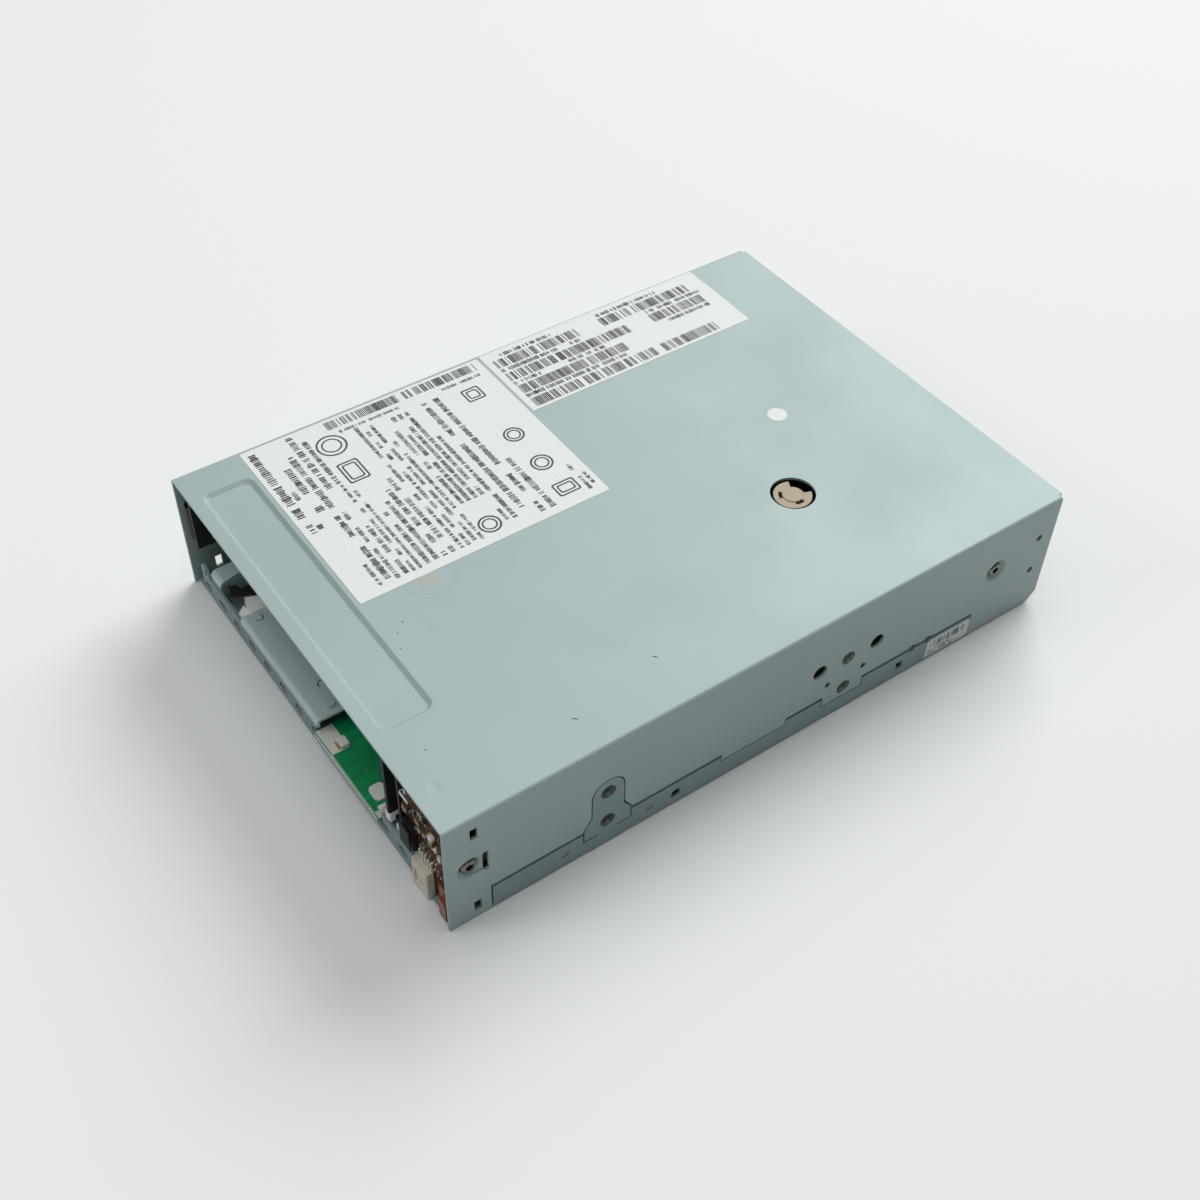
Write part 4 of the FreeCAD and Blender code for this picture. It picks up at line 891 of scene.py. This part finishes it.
class TAPEDRIVE_OT_front(bpy.types.Operator):
    """Circuit board tongue, panel parts, socket contacts and plastics at the open front"""
    bl_idname = "tapedrive.front"
    bl_label = "Front opening"

    def execute(self, context):
        finish_nodes("board", "film", "flex", "black", "white", "cream", "lamp")
        self.board_tongue()
        self.panel_parts()
        self.blade_foot()
        self.socket_contacts()
        return {"FINISHED"}

    def board_tongue(self):
        """Silkscreen block, pads, small connector, bare corner and edge band on the board's tongue."""
        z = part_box("logic_board")[1].z / MM
        blocks("board_silkscreen", "silk", [(3.1, 12.8, 0.6, 5.7, z - 0.02, z + 0.03)])
        blocks("board_bare_corner", "board_edge", [(35.2, 37.5, 0.6, 3.4, z - 0.02, z + 0.03),
                                                   (12.8, 35.3, 0.42, 0.62, z - 0.02, z + 0.03)])
        blocks("board_connector", "white", [(9.2, 12.6, 3.6, 6.1, z, z + 1.3)])
        blocks("board_connector_pins", "gold", [(9.6 + 0.75 * i, 9.9 + 0.75 * i, 2.8, 3.7, z, z + 0.5)
                                                for i in range(4)])
        blocks("board_via", "gold", [(21.6, 22.1, 5.6, 6.1, z - 0.02, z + 0.03)])
        blocks("board_edge_band", "board_edge", [(3.4, 37.2, 0.24, 0.34, z - 1.55, z - 0.05)])
        bm = bmesh.new()
        for *outline, height in ((27.6, 32.9, 2.6, 7.0, 1.5, 0.5), (34.0, 35.3, 2.0, 4.6, 0.3, 0.1)):
            add_slab(bm, plan(*outline), (z - 0.02) * MM, (z + height) * MM)
        settled(smooth(mesh_object("board_pads", bm, "white")), "chassis")

    def panel_parts(self):
        """Surface-mounted parts on the panel board."""
        y = (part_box("panel_board")[0].y - FRONT) / MM
        for name, finish, rows in PANEL_BLOCKS:
            blocks(name, finish, [(x0, x1, y - out, y - back, z0, z1) for x0, x1, out, back, z0, z1 in rows])
        grid = []
        for i, (x, z) in enumerate(RESISTORS):
            long_way = i % 2
            grid.append((x, x + 1.0 + 0.6 * long_way, y - 0.6, y, z, z + 1.6 - 0.6 * long_way))
        blocks("panel_resistors", "chip", grid)
        ends = []
        for x0, x1, y0, y1, z0, z1 in grid:
            if z1 - z0 > x1 - x0:
                ends += [(x0 - 0.02, x1 + 0.02, y0 - 0.02, y1, z, z + 0.26) for z in (z0 - 0.04, z1 - 0.22)]
            else:
                ends += [(x, x + 0.26, y0 - 0.02, y1, z0 - 0.02, z1 + 0.02) for x in (x0 - 0.04, x1 - 0.22)]
        ends += [(50.0, 50.5, y - 0.9, y, 23.4, 23.9), (59.7, 60.2, y - 0.9, y, 33.4, 33.9)]
        blocks("panel_resistor_ends", "bright", ends)
        pins = []
        for i in range(6):
            for row in (0, 1, 2):
                x, z = 58.2 + 1.5 * i + 0.4 * row, 18.6 - 2.6 * row + 0.5 * (i % 2)
                pins.append((x, x + 0.5, y - 1.3 + 0.3 * row, y, z, z + 0.6 + 0.3 * (i % 2)))
        blocks("panel_pins", "silver", pins)
        blocks("panel_patch", "cream", [(63.4, 65.2, y - 0.5, y, 22.4, 24.8),
                                        (65.6, 67.2, y - 0.6, y, 20.6, 22.6)])

    def blade_foot(self):
        """White moulded foot under the guide blade, and two small white blocks on the loader side's front
        edge as painted highlights.
        """
        blocks("blade_foot", "white", [(43.7, 45.2, 0.6, 3.2, 15.6, 17.25),
                                       (41.4, 43.8, 0.9, 2.6, 11.6, 15.4)])
        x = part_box("loader_side_right")[1].x / MM
        # Painted highlights: white blocks that stand for glints on the black front edge of the loader's side.
        blocks("loader_edge_marks", "white",
               [(x - 0.85, x - 0.15, 1.3, 1.45, z, z + 1.4) for z in (18.6, 33.8)])

    def socket_contacts(self):
        """Contacts in the socket's recess and the comb of leads above it."""
        low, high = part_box("panel_socket")
        y0, top = (low.y - FRONT) / MM, high.z / MM
        blocks("socket_recess_contacts", "bright",
               [(57.6, 60.6, y0 + 0.7, y0 + 1.4, 3.9 + 1.25 * i, 4.3 + 1.25 * i) for i in range(4)])
        blocks("socket_leads", "silk",
               [(56.0 + 1.35 * i, 56.55 + 1.35 * i, 1.9, 2.55, top, top + 3.4) for i in range(5)])
        blocks("socket_key", "cream", [(58.9, 59.3, 0.2, 1.6, top - 0.02, top + 0.06)])


# ---------------------------------------- marks of use on the cover
STAIN = (-0.1, 40.3)      # middle of the ring stain
SCRATCH = (15.3, 31.4, 11.9, 0.24)
SCUFFS = (                # (x, y, length, angle)
    (61.7, 44.7, 1.8, 0.9), (56.4, 72.9, 1.6, 0.7), (10.4, 26.2, 0.6, 0.0),
    (18.0, 21.2, 0.4, 1.0), (13.1, 23.2, 0.5, 0.4), (49.5, 9.8, 0.6, 1.3))
TAPE_SCRAP = (-1.4, 3.2, 37.2, 42.5, 1.5)     # extents and corner radius


class TAPEDRIVE_OT_wear(bpy.types.Operator):
    """Small scuffs, the ring stain, the scratch and the scrap of tape beside the label"""
    bl_idname = "tapedrive.wear"
    bl_label = "Marks of use"

    def execute(self, context):
        bm = bmesh.new()
        z = TOP - 0.005 * MM
        ring_mark(bm, *STAIN, 7.9, 0.22, z, 0.012 * MM)
        ring_mark(bm, *STAIN, 7.0, 0.14, z, 0.010 * MM)
        self.scuff(bm, *SCRATCH)
        bmesh.ops.recalc_face_normals(bm, faces=bm.faces)
        settled(mesh_object("stamp_rings", bm, "stain"), "chassis")
        bm = bmesh.new()
        add_slab(bm, plan(*TAPE_SCRAP), TOP - 0.01 * MM, TOP + 0.03 * MM)
        settled(mesh_object("tape_scrap", bm, "scrap"), "chassis")
        bm = bmesh.new()
        for row in SCUFFS:
            self.scuff(bm, *row)
        settled(mesh_object("cover_scuffs", bm, "black"), "chassis")
        return {"FINISHED"}

    def scuff(self, bm, x, y, length, angle):
        """Thin lens-shaped nick in the surface."""
        lens = Matrix.Rotation(angle, 3, "Z") @ Matrix.Diagonal((length / 2 * MM, 0.16 * MM, 1.0))
        points = [at(x, y, 0) + lens @ Vector((*point, 0)) for point in circle_points(1.0, 12)]
        add_slab(bm, [(p.x, p.y) for p in points], TOP - 0.01 * MM, TOP + 0.008 * MM)


# ---------------------------------------- stage
FLOOR_GAP = 0.0002        # the floor lies this far under the base
LIGHTS = (                # (name, place, target, size, power)
    ("key", (-1.1, 2.3, 2.0), (0.0, 0.0, 0.0), (2.4, 1.8), 98.0),
    ("overhead", (0.1, -0.2, 1.9), (0.0, 0.0, 0.0), (1.6, 1.6), 18.0),
    ("front_glint", (-0.35, -0.9, 0.75), (0.0, -0.1, 0.02), (0.35, 0.25), 1.6))


def area_light(name, place, target, size, power):
    light = bpy.data.lights.new(name, "AREA")
    light.energy = power
    light.shape = "RECTANGLE"
    light.size, light.size_y = size
    lamp = in_scene(name, light)
    lamp.location = place
    lamp.rotation_euler = (Vector(target) - Vector(place)).to_track_quat("-Z", "Y").to_euler()


class TAPEDRIVE_OT_stage(bpy.types.Operator):
    """Pale floor, soft studio light and the camera"""
    bl_idname = "tapedrive.stage"
    bl_label = "Stage"

    def execute(self, context):
        settings = context.scene.tapedrive_stage
        self.floor(settings.floor_size / 2)
        self.lights(context.scene)
        self.camera(context.scene, settings)
        context.scene.view_settings.view_transform = "Standard"
        return {"FINISHED"}

    def floor(self, half):
        bm = bmesh.new()
        square = ((-half, -half), (half, -half), (half, half), (-half, half))
        bm.faces.new(add_loop(bm, square, CASE_LOW.z - FLOOR_GAP))
        s = Shader("floor_white", (0.70, 0.71, 0.71), 0.7, specular=0.1)
        s.bump(s.noise(40.0), 0.02)
        FINISH["floor"] = s.material
        mesh_object("floor", bm, "floor")

    def lights(self, scene):
        world = bpy.data.worlds.new("studio")
        world.use_nodes = True
        sky = world.node_tree.nodes["Background"].inputs
        sky["Color"].default_value = (0.93, 0.96, 1.0, 1.0)
        sky["Strength"].default_value = 0.20
        scene.world = world
        for row in LIGHTS:
            area_light(*row)

    def camera(self, scene, settings):
        data = bpy.data.cameras.new("photo_camera")
        data.lens = settings.lens
        data.sensor_width = 36.0
        data.clip_start = 0.01
        camera = in_scene("photo_camera", data)
        back = (Vector(settings.camera_place) - Vector(settings.camera_target)).normalized()
        right = Vector(settings.camera_up).cross(back).normalized()
        camera.location = settings.camera_place
        camera.rotation_euler = Matrix((right, back.cross(right), back)).transposed().to_euler()
        scene.camera = camera


# ---------------------------------------- panel and registration
class TAPEDRIVE_PT_panel(bpy.types.Panel):
    """Makes the drive's finishes piece by piece"""
    bl_idname = "TAPEDRIVE_PT_panel"
    bl_label = "Tape Drive"
    bl_space_type = "VIEW_3D"
    bl_region_type = "UI"
    bl_category = "Tape Drive"

    def draw(self, context):
        for settings in SETTINGS:
            box = self.layout.box()
            group = getattr(context.scene, settings)
            for name in group.__annotations__:
                box.prop(group, name)
        for operator in OPERATORS:
            self.layout.operator(operator.bl_idname)


SETTINGS = {
    "tapedrive_case": CaseSettings,
    "tapedrive_label": LabelSettings,
    "tapedrive_front": FrontSettings,
    "tapedrive_stage": StageSettings,
}
OPERATORS = (TAPEDRIVE_OT_stage, TAPEDRIVE_OT_case, TAPEDRIVE_OT_mechanism, TAPEDRIVE_OT_front,
             TAPEDRIVE_OT_labels, TAPEDRIVE_OT_fasteners, TAPEDRIVE_OT_wear)
CLASSES = (*SETTINGS.values(), *OPERATORS, TAPEDRIVE_PT_panel)


def register():
    for cls in CLASSES:
        bpy.utils.register_class(cls)
    for name, group in SETTINGS.items():
        setattr(bpy.types.Scene, name, bpy.props.PointerProperty(type=group))


def unregister():
    for name in SETTINGS:
        delattr(bpy.types.Scene, name)
    for cls in reversed(CLASSES):
        bpy.utils.unregister_class(cls)


def main():
    register()
    bpy.ops.tapedrive.stage()
    bpy.ops.tapedrive.case()
    bpy.ops.tapedrive.mechanism()
    bpy.ops.tapedrive.front()
    bpy.ops.tapedrive.labels()
    bpy.ops.tapedrive.fasteners()
    bpy.ops.tapedrive.wear()


if __name__ == "__main__":
    main()
